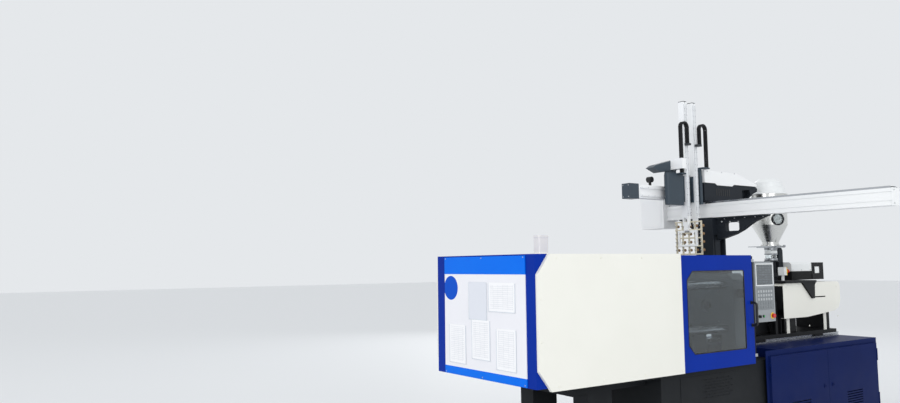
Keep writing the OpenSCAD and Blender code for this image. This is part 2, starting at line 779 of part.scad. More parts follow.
module door_handle() {
    x = door_x1 - 26;
    z0 = axis_z - 145;
    z1 = axis_z + 55;
    d = 20;
    r = 24;
    out = 52;
    y0 = -door_face - gap;
    for (z = [z0, z1]) {
        bar_y(y0 - out + r, y0, d, x, z);
        bar_y(y0 - 6, y0, d + 12, x, z);
    }
    translate([x, y0 - out, z0 + r]) cylinder(h = z1 - z0 - 2 * r, d = d);
    translate([x, y0 - out + r, z1 - r]) rotate([90, 0, -90]) handle_bend(r, d);
    translate([x, y0 - out + r, z0 + r]) rotate([-90, 0, -90]) handle_bend(r, d);
}

module front_door_frame() {
    color(navy) door_frame();
}

module front_door_window() {
    color([0.5, 0.55, 0.6, 0.4]) door_window();
}

module front_door_handle() {
    color(black) door_handle();
}

module rear_door_frame() {
    color(navy) mirror([0, 1, 0]) door_frame();
}

module rear_door_window() {
    color([0.5, 0.55, 0.6, 0.4]) mirror([0, 1, 0]) door_window();
}

module rear_door_handle() {
    color(black) mirror([0, 1, 0]) door_handle();
}

module signal_lamp() {
    x = 610;
    w = 100;
    d = 74;
    color(white) {
        box([x - w / 2 - 8, -d / 2 - 8, guard_top + gap], [x + w / 2 + 8, d / 2 + 8, guard_top + 14]);
        translate([x, 0, guard_top + 14 - eps]) linear_extrude(132) round_rect(w, d, 10);
        translate([x, 0, guard_top + 146 - eps]) linear_extrude(16) round_rect(w + 8, d + 8, 12);
    }
}

// Operator's panel

panel_x = [fixed_x0 - 36, fixed_x0 + 264];
panel_y = [-guard_half + 50, -guard_half + 140];
panel_z = [guard_top - 622, guard_top - 74];
stop_x = panel_x[1] - 46;
stop_z = panel_z[0] + 52;
stop_travel = 6;

module operator_panel() {
    bezel = 22;
    color(light_grey)
        difference() {
            union() {
                box([panel_x[0], panel_y[0], panel_z[0]], [panel_x[1], panel_y[1], panel_z[1]]);
                box([panel_x[0] - 5, panel_y[0] + 30, panel_z[0] - 5], [panel_x[1] + 5, panel_y[1] - 20, panel_z[1] + 5]);
            }
            // screen recess and keypad recess
            box([panel_x[0] + bezel, panel_y[0] - 1, panel_z[1] - 212], [panel_x[1] - bezel, panel_y[0] + 5, panel_z[1] - bezel]);
            box([panel_x[0] + bezel, panel_y[0] - 1, panel_z[0] + 110], [panel_x[1] - bezel, panel_y[0] + 2, panel_z[1] - 236]);
            translate([stop_x, panel_y[0] - 1, stop_z]) rotate([-90, 0, 0]) cylinder(h = 41, d = 23);
        }
    // rows of membrane keys
    color(white)
        for (c = [0 : 5], r = [0 : 4])
            box([panel_x[0] + bezel + 12 + c * 40, panel_y[0] + 0.6, panel_z[0] + 122 + r * 36],
                [panel_x[0] + bezel + 40 + c * 40, panel_y[0] + 2 + eps, panel_z[0] + 146 + r * 36]);
    // arm that carries the panel from the side of the fixed platen
    color(dark)
        difference() {
            box([fixed_x0 + 60, panel_y[1] - eps, panel_z[1] - 330], [fixed_x0 + 120, -platen / 2 - gap, panel_z[1] - 250]);
            box([fixed_x0 + 66, panel_y[1] + 20, panel_z[1] - 324], [fixed_x0 + 114, -platen / 2 - 20, panel_z[1] - 256]);
        }
}

module panel_screen() {
    bezel = 22;
    color(black)
        box([panel_x[0] + bezel + gap, panel_y[0] + 1, panel_z[1] - 212 + gap],
            [panel_x[1] - bezel - gap, panel_y[0] + 5 - gap, panel_z[1] - bezel - gap]);
}

module emergency_stop() {
    color("red") {
        bar_y(panel_y[0] - 22, panel_y[0] - stop_travel - 2, 40, stop_x, stop_z);
        bar_y(panel_y[0] - stop_travel - 3, panel_y[0] + 30, 22, stop_x, stop_z);
    }
}

// Injection unit

module carriage_base() {
    color(black) {
        box([bed_plate_x0, -bed_plate_half, inj_base_z], [cover_inj_x[1] - 20, bed_plate_half, inj_base_top]);
        // guide shoes hang down beside each rail
        both_sides()
            for (x = [bed_plate_x0 + 40, rear_plate_x[0] - 360], s = [-1, 1])
                box([x, -inj_rail_y + s * (inj_rail_w / 2 + 8) - 6, inj_base_z - 24],
                    [x + 160, -inj_rail_y + s * (inj_rail_w / 2 + 8) + 6, inj_base_z + eps]);
        // lugs that take the cylinder rods
        both_sides()
            difference() {
                union() {
                    box([lug_x[0], -pull_y - 32, inj_base_top - eps], [lug_x[1], -pull_y + 32, pull_z]);
                    bar_x(lug_x[0], lug_x[1], 64, -pull_y, pull_z);
                    // rib towards the rear
                    upright(-pull_y - 8, 16)
                        polygon([[lug_x[1] - 10, inj_base_top - eps], [cover_inj_x[0] + 8, inj_base_top - eps],
                            [lug_x[1] - 10, pull_z - 60]]);
                }
                box([lug_x[0] - 10, -pull_y - 14, inj_base_top + 40], [lug_x[0] + 9, -pull_y + 14, pull_z - 60]);
            }
        // black front wall inside the cover, open round the barrel
        difference() {
            translate([cover_inj_x[0] + 7, 0, 0])
                rotate([90, 0, 90])
                    linear_extrude(6)
                        for (s = [-1, 1])
                            polygon([[-s * eps, inj_base_top - eps], [s * (cover_inj_y - 44), inj_base_top - eps],
                                [s * (cover_inj_y - 44), cover_inj_z[0] + 6], [s * (cover_inj_y - sheet - 2), cover_inj_z[0] + 6],
                                [s * (cover_inj_y - sheet - 2), cover_inj_z[1] - 32], [-s * eps, cover_inj_z[1] - 32]]);
            box([cover_inj_x[0], -barrel_guard_half - 10, inj_base_top + 20],
                [cover_inj_x[0] + 20, barrel_guard_half + 10, barrel_guard_top + 10]);
            for (y = [-1, 1])
                box([cover_inj_x[0], y * (cover_inj_y - 60) - 40, cover_inj_z[0] + 30],
                    [cover_inj_x[0] + 20, y * (cover_inj_y - 60) + 14, cover_inj_z[0] + 90]);
        }
        // feed block
        difference() {
            box([block_x[0], -block_w / 2, inj_base_top - eps], [block_x[1], block_w / 2, axis_z + 150]);
            bar_x(block_x[0] - 1, block_x[1] + 1, barrel_d + 2 * gap);
            translate([stand_x, 0, axis_z]) cylinder(h = 200, d = 52);
        }
        // rear plate that closes the drive frame
        box([rear_plate_x[0], -block_w / 2, inj_base_top - eps], [rear_plate_x[1], block_w / 2, axis_z + 150]);
    }
    color(steel) {
        for (y = [-guide_y, guide_y]) bar_x(block_x[0] - 20, rear_plate_x[1] + 2, guide_d, y);
        for (y = [-pull_y, pull_y]) bar_x(pull_x[0] + 30, lug_x[0] + 10, rod_d, y, pull_z);
    }
}

module barrel() {
    color(steel)
        difference() {
            union() {
                bar_x(barrel_x0, block_x[1] + 40, barrel_d);
                translate([barrel_x0 - 50, 0, axis_z]) rotate([0, 90, 0]) cylinder(h = 51, d1 = 66, d2 = barrel_d);
                bar_x(nozzle_x0 + 20, barrel_x0 - 45, 46);
                translate([nozzle_x0, 0, axis_z]) rotate([0, 90, 0]) cylinder(h = 21, d1 = 22, d2 = 46);
            }
            bar_x(barrel_x0 + 20, block_x[1] + 41, screw_d + 0.4);
            translate([barrel_x0 - 40, 0, axis_z]) rotate([0, 90, 0]) cylinder(h = 61, d1 = 8, d2 = screw_d);
            bar_x(nozzle_x0 - 1, barrel_x0 - 39, 8);
            translate([stand_x, 0, axis_z]) cylinder(h = 200, d = 50);
        }
}

module heater_bands() {
    color([0.6, 0.6, 0.58])
        for (i = [0 : 4])
            translate([barrel_x0 + 30 + i * 92, 0, 0])
                difference() {
                    union() {
                        bar_x(0, 78, barrel_d + 18);
                        box([20, -14, axis_z + barrel_d / 2 + 4], [58, 14, axis_z + barrel_d / 2 + 26]);
                    }
                    bar_x(-1, 79, barrel_d + 2 * gap);
                }
}

// Cover over the nozzle, which slides back over the barrel's cover, with a window in each side.
module purge_guard() {
    x0 = fixed_x1 + 10;
    x1 = barrel_guard_x0 + purge_lap;
    z0 = axis_z - 130;
    z1 = barrel_guard_top + gap + sheet;
    color(black) {
        difference() {
            box([x0, -purge_half, z0], [x1, purge_half, z1]);
            box([x0 - 1, -purge_half + sheet, z0 - 1], [x1 + 1, purge_half - sheet, z1 - sheet]);
            box([x0 + 70, -purge_half - 1, axis_z - 50], [x1 - 80, purge_half + 1, axis_z + 70]);
        }
        // grip on top
        for (y = [-50, 42])
            box([x0 + 20, y, z1 - eps], [x0 + 32, y + 8, z1 + 26]);
        box([x0 + 20, -50, z1 + 18], [x0 + 32, 50, z1 + 26]);
    }
}

// Perforated cover over the hot barrel.
module barrel_guard() {
    x0 = barrel_guard_x0;
    x1 = cover_inj_x[0] - 6;
    half = barrel_guard_half;
    top = barrel_guard_top;
    low = inj_base_top + gap;
    color(black)
        difference() {
            box([x0, -half, low], [x1, half, top]);
            box([x0 - 1, -half + sheet, low - 1], [x1 + 1, half - sheet, top - sheet]);
            for (i = [0 : 6], j = [0 : 3])
                box([x0 + 30 + i * 46, -half - 1, axis_z - 90 + j * 46], [x0 + 60 + i * 46, half + 1, axis_z - 78 + j * 46]);
        }
}

// The cream housing over the rear of the injection unit: a shell with sloped ends, open in front.
module injection_cover() {
    x0 = cover_inj_x[0];
    x1 = cover_inj_x[1];
    z0 = cover_inj_z[0];
    z1 = cover_inj_z[1];
    color(cream)
        difference() {
            upright(-cover_inj_y, 2 * cover_inj_y) cover_side(0);
            upright(-cover_inj_y + sheet, 2 * cover_inj_y - 2 * sheet) cover_side(sheet);
            box([x0 - 1, -cover_inj_y + sheet, z0 - 1], [x0 + sheet + 1, cover_inj_y - sheet, z1 - 26]);
            // cut-outs for the hopper's stand, the drive and the underside
            translate([stand_x, 0, z1 - 20]) cylinder(h = 40, d = 128);
            box([motor_x[0] + 52, -70, z1 - 20], [motor_x[0] + 192, 70, z1 + 1]);
            box([x0 - 1, -cover_inj_y + 40, z0 - 1], [x1 - 18, cover_inj_y - 40, z0 + 120]);
            // slot in the side
            box([x0 + side_slot[0], -cover_inj_y - 1, z0 + side_slot[2]],
                [x0 + side_slot[1], -cover_inj_y + sheet + 1, z0 + side_slot[3]]);
        }
    color(cream)
        both_sides()
            for (x = [x0 + 120, x1 - 260]) {
                box([x, -250, inj_base_top + gap], [x + 50, -244, z0 + 60]);
                box([x, -cover_inj_y + sheet - eps, z0 + 54], [x + 50, -244, z0 + 60]);
            }
}

// Side view of the injection cover.
module cover_side(inset) {
    x0 = cover_inj_x[0] + inset;
    x1 = cover_inj_x[1] - inset;
    z0 = cover_inj_z[0] + inset;
    z1 = cover_inj_z[1] - inset;
    polygon([[x0, z0], [x0 + 420, z0], [x1 - 120, z0 + 44], [x1 - 40, z0 + 76], [x1, z0 + 150],
        [x1, z1 - 46], [x1 - 10, z1 - 20], [x1 - 36, z1], [x0 + 24, z1], [x0, z1 - 24]]);
}

// The drive that turns the screw: its plate across the cover with a wedge bracket on the
// operator's side, the housing with a bright upper half, the fan box and the valve beside the hopper.
module screw_motor() {
    x0 = motor_x[0];
    z1 = cover_inj_z[1];
    near = -cover_inj_y - gap;
    color(black) {
        difference() {
            box([plate_inj_x[0], plate_inj_y[0], z1 + gap], [plate_inj_x[1], plate_inj_y[1], motor_z[0]]);
            translate([stand_x, 0, z1]) cylinder(h = 40, d = 118);
        }
        // wedge bracket
        upright(near - 22, 22)
            polygon([[plate_inj_x[1] - 244, z1 + 2], [plate_inj_x[1], z1 + 2], [plate_inj_x[1] - 22, z1 - 26],
                [plate_inj_x[1] - 30, z1 - 164], [plate_inj_x[1] - 66, z1 - 164]]);
        // neck that reaches the screw's drive
        box([x0 + 60, -62, axis_z + 70], [x0 + 184, 62, motor_z[0] + eps]);
        box([x0, motor_y[0], motor_z[0] - eps], [motor_x[1] + eps, motor_y[1], motor_z[1]]);
        // fan box with its square port on the near face and ribs on its end
        difference() {
            box([motor_x[1], motor_y[0] - 2, motor_z[0]], [motor_x[2], motor_y[1] + 2, motor_z[2] - 4]);
            for (i = [0 : 6])
                box([motor_x[1] + 22, motor_y[0] + 16 + i * 24, motor_z[2] - 12],
                    [motor_x[2] - 22, motor_y[0] + 28 + i * 24, motor_z[2]]);
        }
    }
    color(light_grey) {
        // bright housing with its two top edges cut
        translate([x0, 0, 0])
            rotate([90, 0, 90])
                linear_extrude(motor_x[1] - x0)
                    polygon([[motor_y[0], motor_z[1] - eps], [motor_y[1], motor_z[1] - eps], [motor_y[1], motor_z[2] - 22],
                        [motor_y[1] - 22, motor_z[2]], [motor_y[0] + 22, motor_z[2]], [motor_y[0], motor_z[2] - 22]]);
        box([motor_x[1] + 54, motor_y[0] - 7, motor_z[1] - 24], [motor_x[1] + 140, motor_y[0] - 2 + eps, motor_z[1] + 44]);
    }
    // feed valve on its pipe: body, end ring and knob
    color(white) {
        box([stand_x - 85, -195, motor_z[0] + 54], [stand_x - 30, -125, motor_z[0] + 138]);
        translate([stand_x - 58, -160, motor_z[0] - eps]) cylinder(h = 60, d = 30);
        bar_x(stand_x - 31, stand_x - 14, 60, -160, motor_z[0] + 96);
    }
    color("red") {
        bar_x(stand_x - 15, stand_x + 14, 16, -160, motor_z[0] + 96);
        bar_x(stand_x + 12, stand_x + 34, 42, -160, motor_z[0] + 96);
    }
}

// Stand under the hopper: throat, flange and the closed housing behind the sight glass.
module hopper_stand() {
    z1 = cover_inj_z[1];
    housing_x0 = stand_x + sight_d / 2 + 6;
    color(black) {
        difference() {
            union() {
                translate([stand_x, 0, axis_z + 150 + gap]) cylinder(h = z1 + 60 - axis_z - 150, d = 110);
                translate([stand_x - 75, -75, z1 + 60]) cube([150, 150, 36]);
                translate([stand_x, 0, z1 + 94]) cylinder(h = sight_z[0] - z1 - 94 - gap, d = 84);
                translate([stand_x, 0, sight_z[0] - 14]) cylinder(h = 14 - gap, d = sight_d + 14);
            }
            translate([stand_x, 0, axis_z + 140]) cylinder(h = 600, d = 52);
        }
        // closed housing with a bevelled top, joined to the flange and to the seat of the slide plate
        difference() {
            upright(-42, 84)
                polygon([[housing_x0, z1 + 96], [housing_x0 + 68, z1 + 96], [housing_x0 + 78, z1 + 110],
                    [housing_x0 + 78, sight_z[1] - 40], [housing_x0 + 58, sight_z[1] - 10], [housing_x0, sight_z[1] - 10]]);
            for (i = [0 : 4])
                box([housing_x0 + 14, -43, z1 + 150 + i * 20], [housing_x0 + 64, -38, z1 + 158 + i * 20]);
        }
        box([stand_x + 60, -30, z1 + 70], [housing_x0 + 60, 30, z1 + 97]);
    }
    // seat of the slide plate, on the sight glass and on the housing
    color(steel) {
        difference() {
            box([stand_x - gate_half - 20, -100, sight_z[1] - 10], [stand_x + gate_half + 20, 100, sight_z[1]]);
            translate([stand_x, 0, sight_z[1] - 11]) cylinder(h = 12, d = 118);
        }
        for (s = [-1, 1])
            translate([stand_x + s * (gate_half + gap + 8) - 8, -80, sight_z[1] - eps])
                cube([16, 160, gate_t + 2 * gap]);
    }
}

// Clear cylinder between two bright rings, under the hopper.
module sight_glass() {
    z0 = sight_z[0];
    z1 = sight_z[1] - 10 - gap;
    color(light_grey)
        difference() {
            union() {
                translate([stand_x, 0, z0]) cylinder(h = z1 - z0, d = sight_d - 14);
                for (z = [z0, z1 - 24, (z0 + z1) / 2 - 7])
                    translate([stand_x, 0, z]) cylinder(h = z == (z0 + z1) / 2 - 7 ? 14 : 24, d = sight_d);
            }
            translate([stand_x, 0, z0 - 1]) cylinder(h = z1 - z0 + 2, d = sight_d - 26);
        }
}

// Slide plate that shuts the hopper off, in its two guide strips.
module hopper_gate() {
    z0 = sight_z[1] + gap;
    color(steel)
        difference() {
            union() {
                translate([stand_x - gate_half, -86, z0]) cube([2 * gate_half, 300, gate_t]);
                translate([stand_x - 16, -130, z0]) cube([32, 50, gate_t]);
                bar_y(-150, -128, gate_t, stand_x, z0 + gate_t / 2);
                bar_y(-166, -148, 26, stand_x, z0 + gate_t / 2);
            }
            translate([stand_x, 0, z0 - 1]) cylinder(h = gate_t + 2, d = 120);
        }
}

module hopper() {
    wall = 3;
    neck = 160;
    z0 = sight_z[1] + gate_t + 3 * gap;
    color(steel)
        translate([stand_x, 0, 0])
            rotate_extrude()
                polygon([[neck / 2 - 20, z0], [neck / 2 + 24, z0], [neck / 2 + 24, z0 + 8], [neck / 2 + wall, z0 + 8],
                    [neck / 2 + wall, z0 + 40], [hopper_d / 2, cone_top], [hopper_d / 2, hopper_top - 6],
                    [hopper_d / 2 + 12, hopper_top - 6], [hopper_d / 2 + 12, hopper_top],
                    [hopper_d / 2 - wall, hopper_top], [hopper_d / 2 - wall, cone_top + 1],
                    [neck / 2, z0 + 41], [neck / 2, z0 + 8], [neck / 2 - 20, z0 + 8]]);
}

// Vacuum loader that stands on the hopper as its lid.
module hopper_loader() {
    z0 = hopper_top + gap;
    r = hopper_d / 2;
    color(white)
        translate([stand_x, 0, 0])
            rotate_extrude()
                polygon([[0, z0], [r + 12, z0], [r + 12, z0 + 8], [r - 4, z0 + 20], [r - 12, z0 + 70],
                    [r - 30, z0 + 76], [r - 34, z0 + 128], [r - 62, z0 + 150], [90, z0 + 168], [0, z0 + 168]]);
    color(steel) bar_x(stand_x + r - 60, stand_x + r + 60, 50, 0, z0 + 100);
}

module thrust_plate() {
    color(iron)
        difference() {
            union() {
                box([thrust_x, -190, axis_z - 80], [thrust_x + thrust_t, 190, axis_z + 60]);
                bar_x(thrust_x + thrust_t - eps, thrust_x + thrust_t + 60, 100);
            }
            for (y = [-guide_y, guide_y]) bar_x(thrust_x - 1, thrust_x + thrust_t + 1, guide_d + 1, y);
            bar_x(thrust_x - 1, thrust_x + thrust_t + 40, 42 + 2 * gap);
        }
}

// The screw: a shaft with its flight, each half turn of which is one tilted slab cut to the diameter.
module screw() {
    pitch = 40;
    turns = 16;
    flight_x0 = screw_x0 + 96;
    lean = atan(pitch / 2 / screw_d);
    color(steel) {
        bar_x(screw_x0 + 40, thrust_x + thrust_t + 36, 30);
        translate([screw_x0, 0, axis_z]) rotate([0, 90, 0]) cylinder(h = 41, d1 = 4, d2 = 30);
        intersection() {
            bar_x(flight_x0 - 30, flight_x0 + turns * pitch + 30, screw_d - 0.6);
            for (i = [0 : 2 * turns - 1])
                translate([flight_x0 + i * pitch / 2, 0, axis_z])
                    rotate([i % 2 * 180, 0, 0]) rotate([0, lean, 0])
                        translate([-3, 0, -screw_d]) cube([6, screw_d, 2 * screw_d]);
        }
        bar_x(thrust_x - 30, thrust_x + thrust_t + 36, 42);
    }
}

// Two cylinders that draw the injection carriage to the fixed platen.
module carriage_cylinders() {
    color(iron)
        both_sides() {
            bar_x(fixed_x1 + gap, pull_x[0] + 1, 34, -pull_y, pull_z);
            difference() {
                union() {
                    bar_x(pull_x[0], pull_x[1], 70, -pull_y, pull_z);
                    for (x = [pull_x[0], pull_x[1] - 24])
                        bar_x(x, x + 24, 84, -pull_y, pull_z);
                }
                bar_x(pull_x[0] + 24, pull_x[1] + 1, rod_d + 2 * gap, -pull_y, pull_z);
            }
        }
}

// Robot

// Post with a foot plate and the curved bracket that carries the beam's long reach.
module robot_post() {
    foot_z = axis_z + platen / 2 + gap;
    color(dark) {
        box([post_x[0] - 10, -post_half - 60, foot_z], [post_x[1] - 10, post_half + 60, foot_z + 30]);
        difference() {
            box([post_x[0], -post_half, foot_z + 30 - eps], [post_x[1], post_half, beam_z - gap]);
            box([post_x[0] + 20, -post_half - 1, foot_z + 90], [post_x[1] - 20, post_half + 1, beam_z - 170]);
        }
        box([post_x[0] + 60, -post_half + 20, foot_z + 89], [post_x[1] - 60, post_half - 20, beam_z - 169]);
        // bracket under the beam: long with a window on the operator's side, short on the far side
        translate([beam_x - 30, 0, 0])
            rotate([90, 0, 90])
                linear_extrude(60)
                    difference() {
                        polygon([[-post_half + 1, beam_z - 223], [-193, beam_z - 199], [-288, beam_z - 172],
                            [-372, beam_z - 134], [-441, beam_z - 92], [-496, beam_z - 60], [-bracket_reach[0], beam_z - 16],
                            [-bracket_reach[0], beam_z - gap], [-post_half + 1, beam_z - gap]]);
                        translate([-window_bracket[0], beam_z - window_bracket[1]])
                            round_rect(window_bracket[2], window_bracket[3], 16);
                    }
        translate([beam_x - 30, 0, 0])
            rotate([90, 0, 90])
                linear_extrude(60)
                    polygon([[post_half - 1, beam_z - 190], [post_half + 80, beam_z - 110], [bracket_reach[1], beam_z - 16],
                        [bracket_reach[1], beam_z - gap], [post_half - 1, beam_z - gap]]);
        box([beam_x - 60, -bracket_reach[0], beam_z - 14], [beam_x + 60, bracket_reach[1], beam_z - gap]);
    }
}

// Aluminium beam with slots along its faces, an end cap, and the rails and rack on its top.
module traverse_beam() {
    slot = 12;
    color(white) {
        difference() {
            box([beam_x - beam_w / 2, -beam_reach + 12, beam_z], [beam_x + beam_w / 2, beam_y1, beam_top]);
            for (s = [-1, 1], z = [beam_z + 34, beam_top - 34])
                box([beam_x + s * beam_w / 2 - 8, -beam_reach, z - slot / 2], [beam_x + s * beam_w / 2 + 8, beam_y1 + 1, z + slot / 2]);
            box([beam_x - beam_w / 2 + 22, -beam_reach, beam_z + 16], [beam_x + beam_w / 2 - 22, beam_y1 + 1, beam_top - 16]);
        }
        box([beam_x - beam_w / 2 - 3, -beam_reach, beam_z - 3], [beam_x + beam_w / 2 + 3, -beam_reach + 12 + eps, beam_top + 3]);
    }
    color(steel)
        for (s = [-1, 1])
            box([beam_x + s * 45 - 10, -beam_reach + 30, beam_top - eps], [beam_x + s * 45 + 10, beam_y1 - 20, beam_top + guide_h]);
    color(black)
        box([beam_x - 10, -beam_reach + 30, beam_top - eps], [beam_x + 10, beam_y1 - 20, beam_top + 14]);
}

module robot_control_box() {
    x0 = beam_x - 120;
    color(white) {
        difference() {
            box([x0, beam_y1 + gap, beam_z - 80], [x0 + 220, row_y1, beam_z + 240]);
            for (x = [x0 + 36, x0 + 136])
                box([x, beam_y1 + gap - 1, beam_z + 120], [x + 52, beam_y1 + gap + 4, beam_z + 176]);
        }
        box([x0 - 4, beam_y1 + 30, beam_z - 60], [x0 + eps, row_y1 - 20, beam_z + 220]);
    }
}

traverse_hi_y = 250;

carriage_y = [-40, 196];

// The carriage that runs on the beam, with its long dark drive housing, hooked at the rear end.
module traverse_carriage() {
    z0 = beam_top + guide_h + gap;
    x0 = kick_x[1];
    x1 = carriage_x1;
    color(dark) {
        box([beam_x - 90, -60, z0], [beam_x + 90, traverse_hi_y - 20, z0 + 12]);
        difference() {
            upright(carriage_y[0], carriage_y[1] - carriage_y[0])
                polygon([[x0, z0 + 10], [x1 - 200, z0 + 10], [x1 - 150, z0 + 62], [x1 - 60, z0 + 116], [x1, z0 + 138],
                    [x1 + 4, z0 + 168], [x1 - 30, z0 + 188], [x0, z0 + 188]]);
            // hand recess at the rear
            upright(carriage_y[0] - 1, 60)
                polygon([[x1 - 260, z0 + 30], [x1 - 205, z0 + 30], [x1 - 120, z0 + 100], [x1 - 130, z0 + 150], [x1 - 260, z0 + 140]]);
        }
    }
}

// Pale lid on the carriage: long and flat, falling away at the rear, with a notch in its lower edge.
module carriage_lid() {
    z0 = beam_top + guide_h + gap + 188 + gap;
    x0 = kick_x[1];
    x1 = carriage_x1;
    color(white)
        difference() {
            upright(carriage_y[0] - 6, carriage_y[1] - carriage_y[0] + 12)
                polygon([[x0 + 4, z0], [x1 - 12, z0], [x1 - 14, z0 + 22], [x1 - 350, z0 + 118], [x0 + 4, z0 + 124]]);
            upright(carriage_y[0] - 3, carriage_y[1] - carriage_y[0] + 6)
                polygon([[x0 + 7, z0 - 1], [x1 - 40, z0 - 1], [x1 - 352, z0 + 114], [x0 + 7, z0 + 120]]);
        }
    // skirt that hangs down beside the housing
    color(white)
        both_skirts(z0);
}

module both_skirts(z0) {
    for (y = [carriage_y[0] - 6, carriage_y[1] + gap])
        upright(y, 6 - gap)
            polygon([[kick_x[1] + 170, z0 + eps], [carriage_x1 - 400, z0 + eps], [carriage_x1 - 430, z0 - 18],
                [kick_x[1] + 200, z0 - 18]]);
}

module kick_beam() {
    color(white)
        difference() {
            box([kick_x[0], kick_y[0], kick_z[0]], [kick_x[1] - gap, kick_y[1], kick_z[1]]);
            for (z = [kick_z[0] + 30, kick_z[1] - 30])
                box([kick_x[0] - 1, kick_y[1] - 8, z - 6], [kick_x[1] + 1, kick_y[1] + 1, z + 6]);
            box([kick_x[0] - 1, kick_y[0] + 16, kick_z[0] + 14], [kick_x[1] - 10, kick_y[1] - 16, kick_z[1] - 14]);
        }
    // dark end piece with a cable roller on top
    color(dark) {
        box([kick_x[0] - kick_cap, kick_y[0] - 4, kick_z[0] - 8], [kick_x[0] + eps, kick_y[1] + 4, kick_z[1] + 8]);
        box([kick_x[0] + 208, kick_y[0] + 34, kick_z[1] - eps], [kick_x[0] + 222, kick_y[1] - 34, kick_z[1] + 62]);
        bar_y(kick_y[0] + 20, kick_y[1] - 20, 56, kick_x[0] + 215, kick_z[1] + 62);
    }
    color(steel)
        for (z = kick_rail_z)
            box([kick_x[0] + 20, kick_y[0] - kick_rail, z - 9], [kick_x[1] - 10, kick_y[0] + eps, z + 9]);
}

// A slide block on the kick beam, with the channel that guides its vertical arm.
module slide_block(x0, x1, arm_x) {
    back = kick_y[0] - 3;
    front = arm_y + arm_d / 2 + 2;
    cheek = 14;
    color(dark)
        difference() {
            union() {
                upright(front, back - front)
                    translate([(x0 + x1) / 2, (slide_z[0] + slide_z[1]) / 2])
                        round_rect(x1 - x0, slide_z[1] - slide_z[0], 12);
                for (s = [-1, 1])
                    box([arm_x + s * (arm_w / 2 + gap + cheek / 2) - cheek / 2, arm_y - 12, slide_z[0] + 20],
                        [arm_x + s * (arm_w / 2 + gap + cheek / 2) + cheek / 2, front + eps, slide_z[1] - 20]);
            }
            for (z = kick_rail_z)
                box([x0 - 1, kick_y[0] - kick_rail - gap, z - 9 - gap], [x1 + 1, back + 1, z + 9 + gap]);
        }
}

// Rounded upright drive housing in front of a slide block.
module drive_housing(x0, x1, front, z0, z1) {
    translate([(x0 + x1) / 2, (front + arm_y + arm_d / 2 + 4) / 2, z0])
        linear_extrude(z1 - z0)
            round_rect(x1 - x0, arm_y + arm_d / 2 + 4 - front, min(18, (x1 - x0) / 2 - 4));
}

module main_slide_block() {
    top = slide_z[1];
    color(dark) {
        slide_block(main_x - 190, main_x + 40, main_x);
        drive_housing(main_x - 273, main_x - 42, arm_y - 20, slide_z[0] - 14, top);
        // tapering cover of the lift drive above the block
        upright(kick_y[0] - 50, 90)
            polygon([[main_x - 400, top + 46], [main_x - 344, top + 76], [main_x - 48, top + 150], [main_x - 48, top + 42],
                [main_x - 288, top + 6]]);
        box([main_x - 180, kick_y[0] - 46, top - 10], [main_x - 60, kick_y[0] - 4, top + 60]);
    }
    // shelf for the lower end of the cable chain, and the pale duct round its outer leg
    color(dark)
        box([main_x - 142, chain_y - 4, chain_z[0] - 14], [main_x - 80, arm_y - 19, chain_z[0]]);
    color(white)
        difference() {
            box([main_x - 142, chain_y - 8, duct_z[0]], [main_x - 80, kick_y[0] - 49, duct_z[1]]);
            box([main_x + chain_out[0] - chain_t / 2 - 4, chain_y - 3, duct_z[0] - 1],
                [main_x + chain_out[0] + chain_t / 2 + 4, chain_y + chain_w + 3, duct_z[1] + 1]);
        }
}

module sub_slide_block() {
    slide_block(sub_x - 40, sub_x + 66, sub_x);
    color(dark) {
        drive_housing(sub_x + 50, sub_x + 86, arm_y - 40, slide_z[0] + 4, slide_z[1] - 4);
        box([sub_x + 52, arm_y - 30, slide_z[1] - 5], [sub_x + 84, arm_y + arm_d / 2, chain_z[1]]);
        box([sub_x + 52, chain_y - 4, chain_z[1] - 14], [sub_x + 150, arm_y - 18, chain_z[1]]);
    }
}

// A vertical arm: a hollow aluminium profile with a slot in front, a cap and the cable chain's bracket.
module vertical_arm(x, chain_x, y = arm_y) {
    top = arm_z0 + arm_len;
    color(white)
        difference() {
            box([x - arm_w / 2, y - arm_d / 2, arm_z0], [x + arm_w / 2, y + arm_d / 2, top]);
            box([x - 7, y - arm_d / 2 - 1, arm_z0 + 30], [x + 7, y - arm_d / 2 + 8, top + 1]);
            box([x - arm_w / 2 + 9, y - arm_d / 2 + 16, arm_z0 + 20], [x + arm_w / 2 - 9, y + arm_d / 2 - 6, top - 20]);
        }
    color(dark) {
        box([x - arm_w / 2, y - arm_d / 2, top - eps], [x + arm_w / 2, y + arm_d / 2, top + 6]);
        box([min(x - 16, chain_x - 12), chain_y, chain_top - chain_drop - 20],
            [max(x + 16, chain_x + 12), y - arm_d / 2 + eps, chain_top - chain_drop - gap]);
    }
}

module main_arm() {
    vertical_arm(main_x, main_x + chain_out[0] + 2 * chain_r);
    color(light_grey)
        both_wrist_ears();
}

// The two ears that hold the wrist.
module both_wrist_ears() {
    for (s = [-1, 1])
        difference() {
            box([main_x - 22, arm_y + s * 26 - 4, wrist_z - 20], [main_x + 22, arm_y + s * 26 + 4, arm_z0 + eps]);
            bar_y(arm_y - 60, arm_y + 60, 20.4, main_x, wrist_z);
        }
}

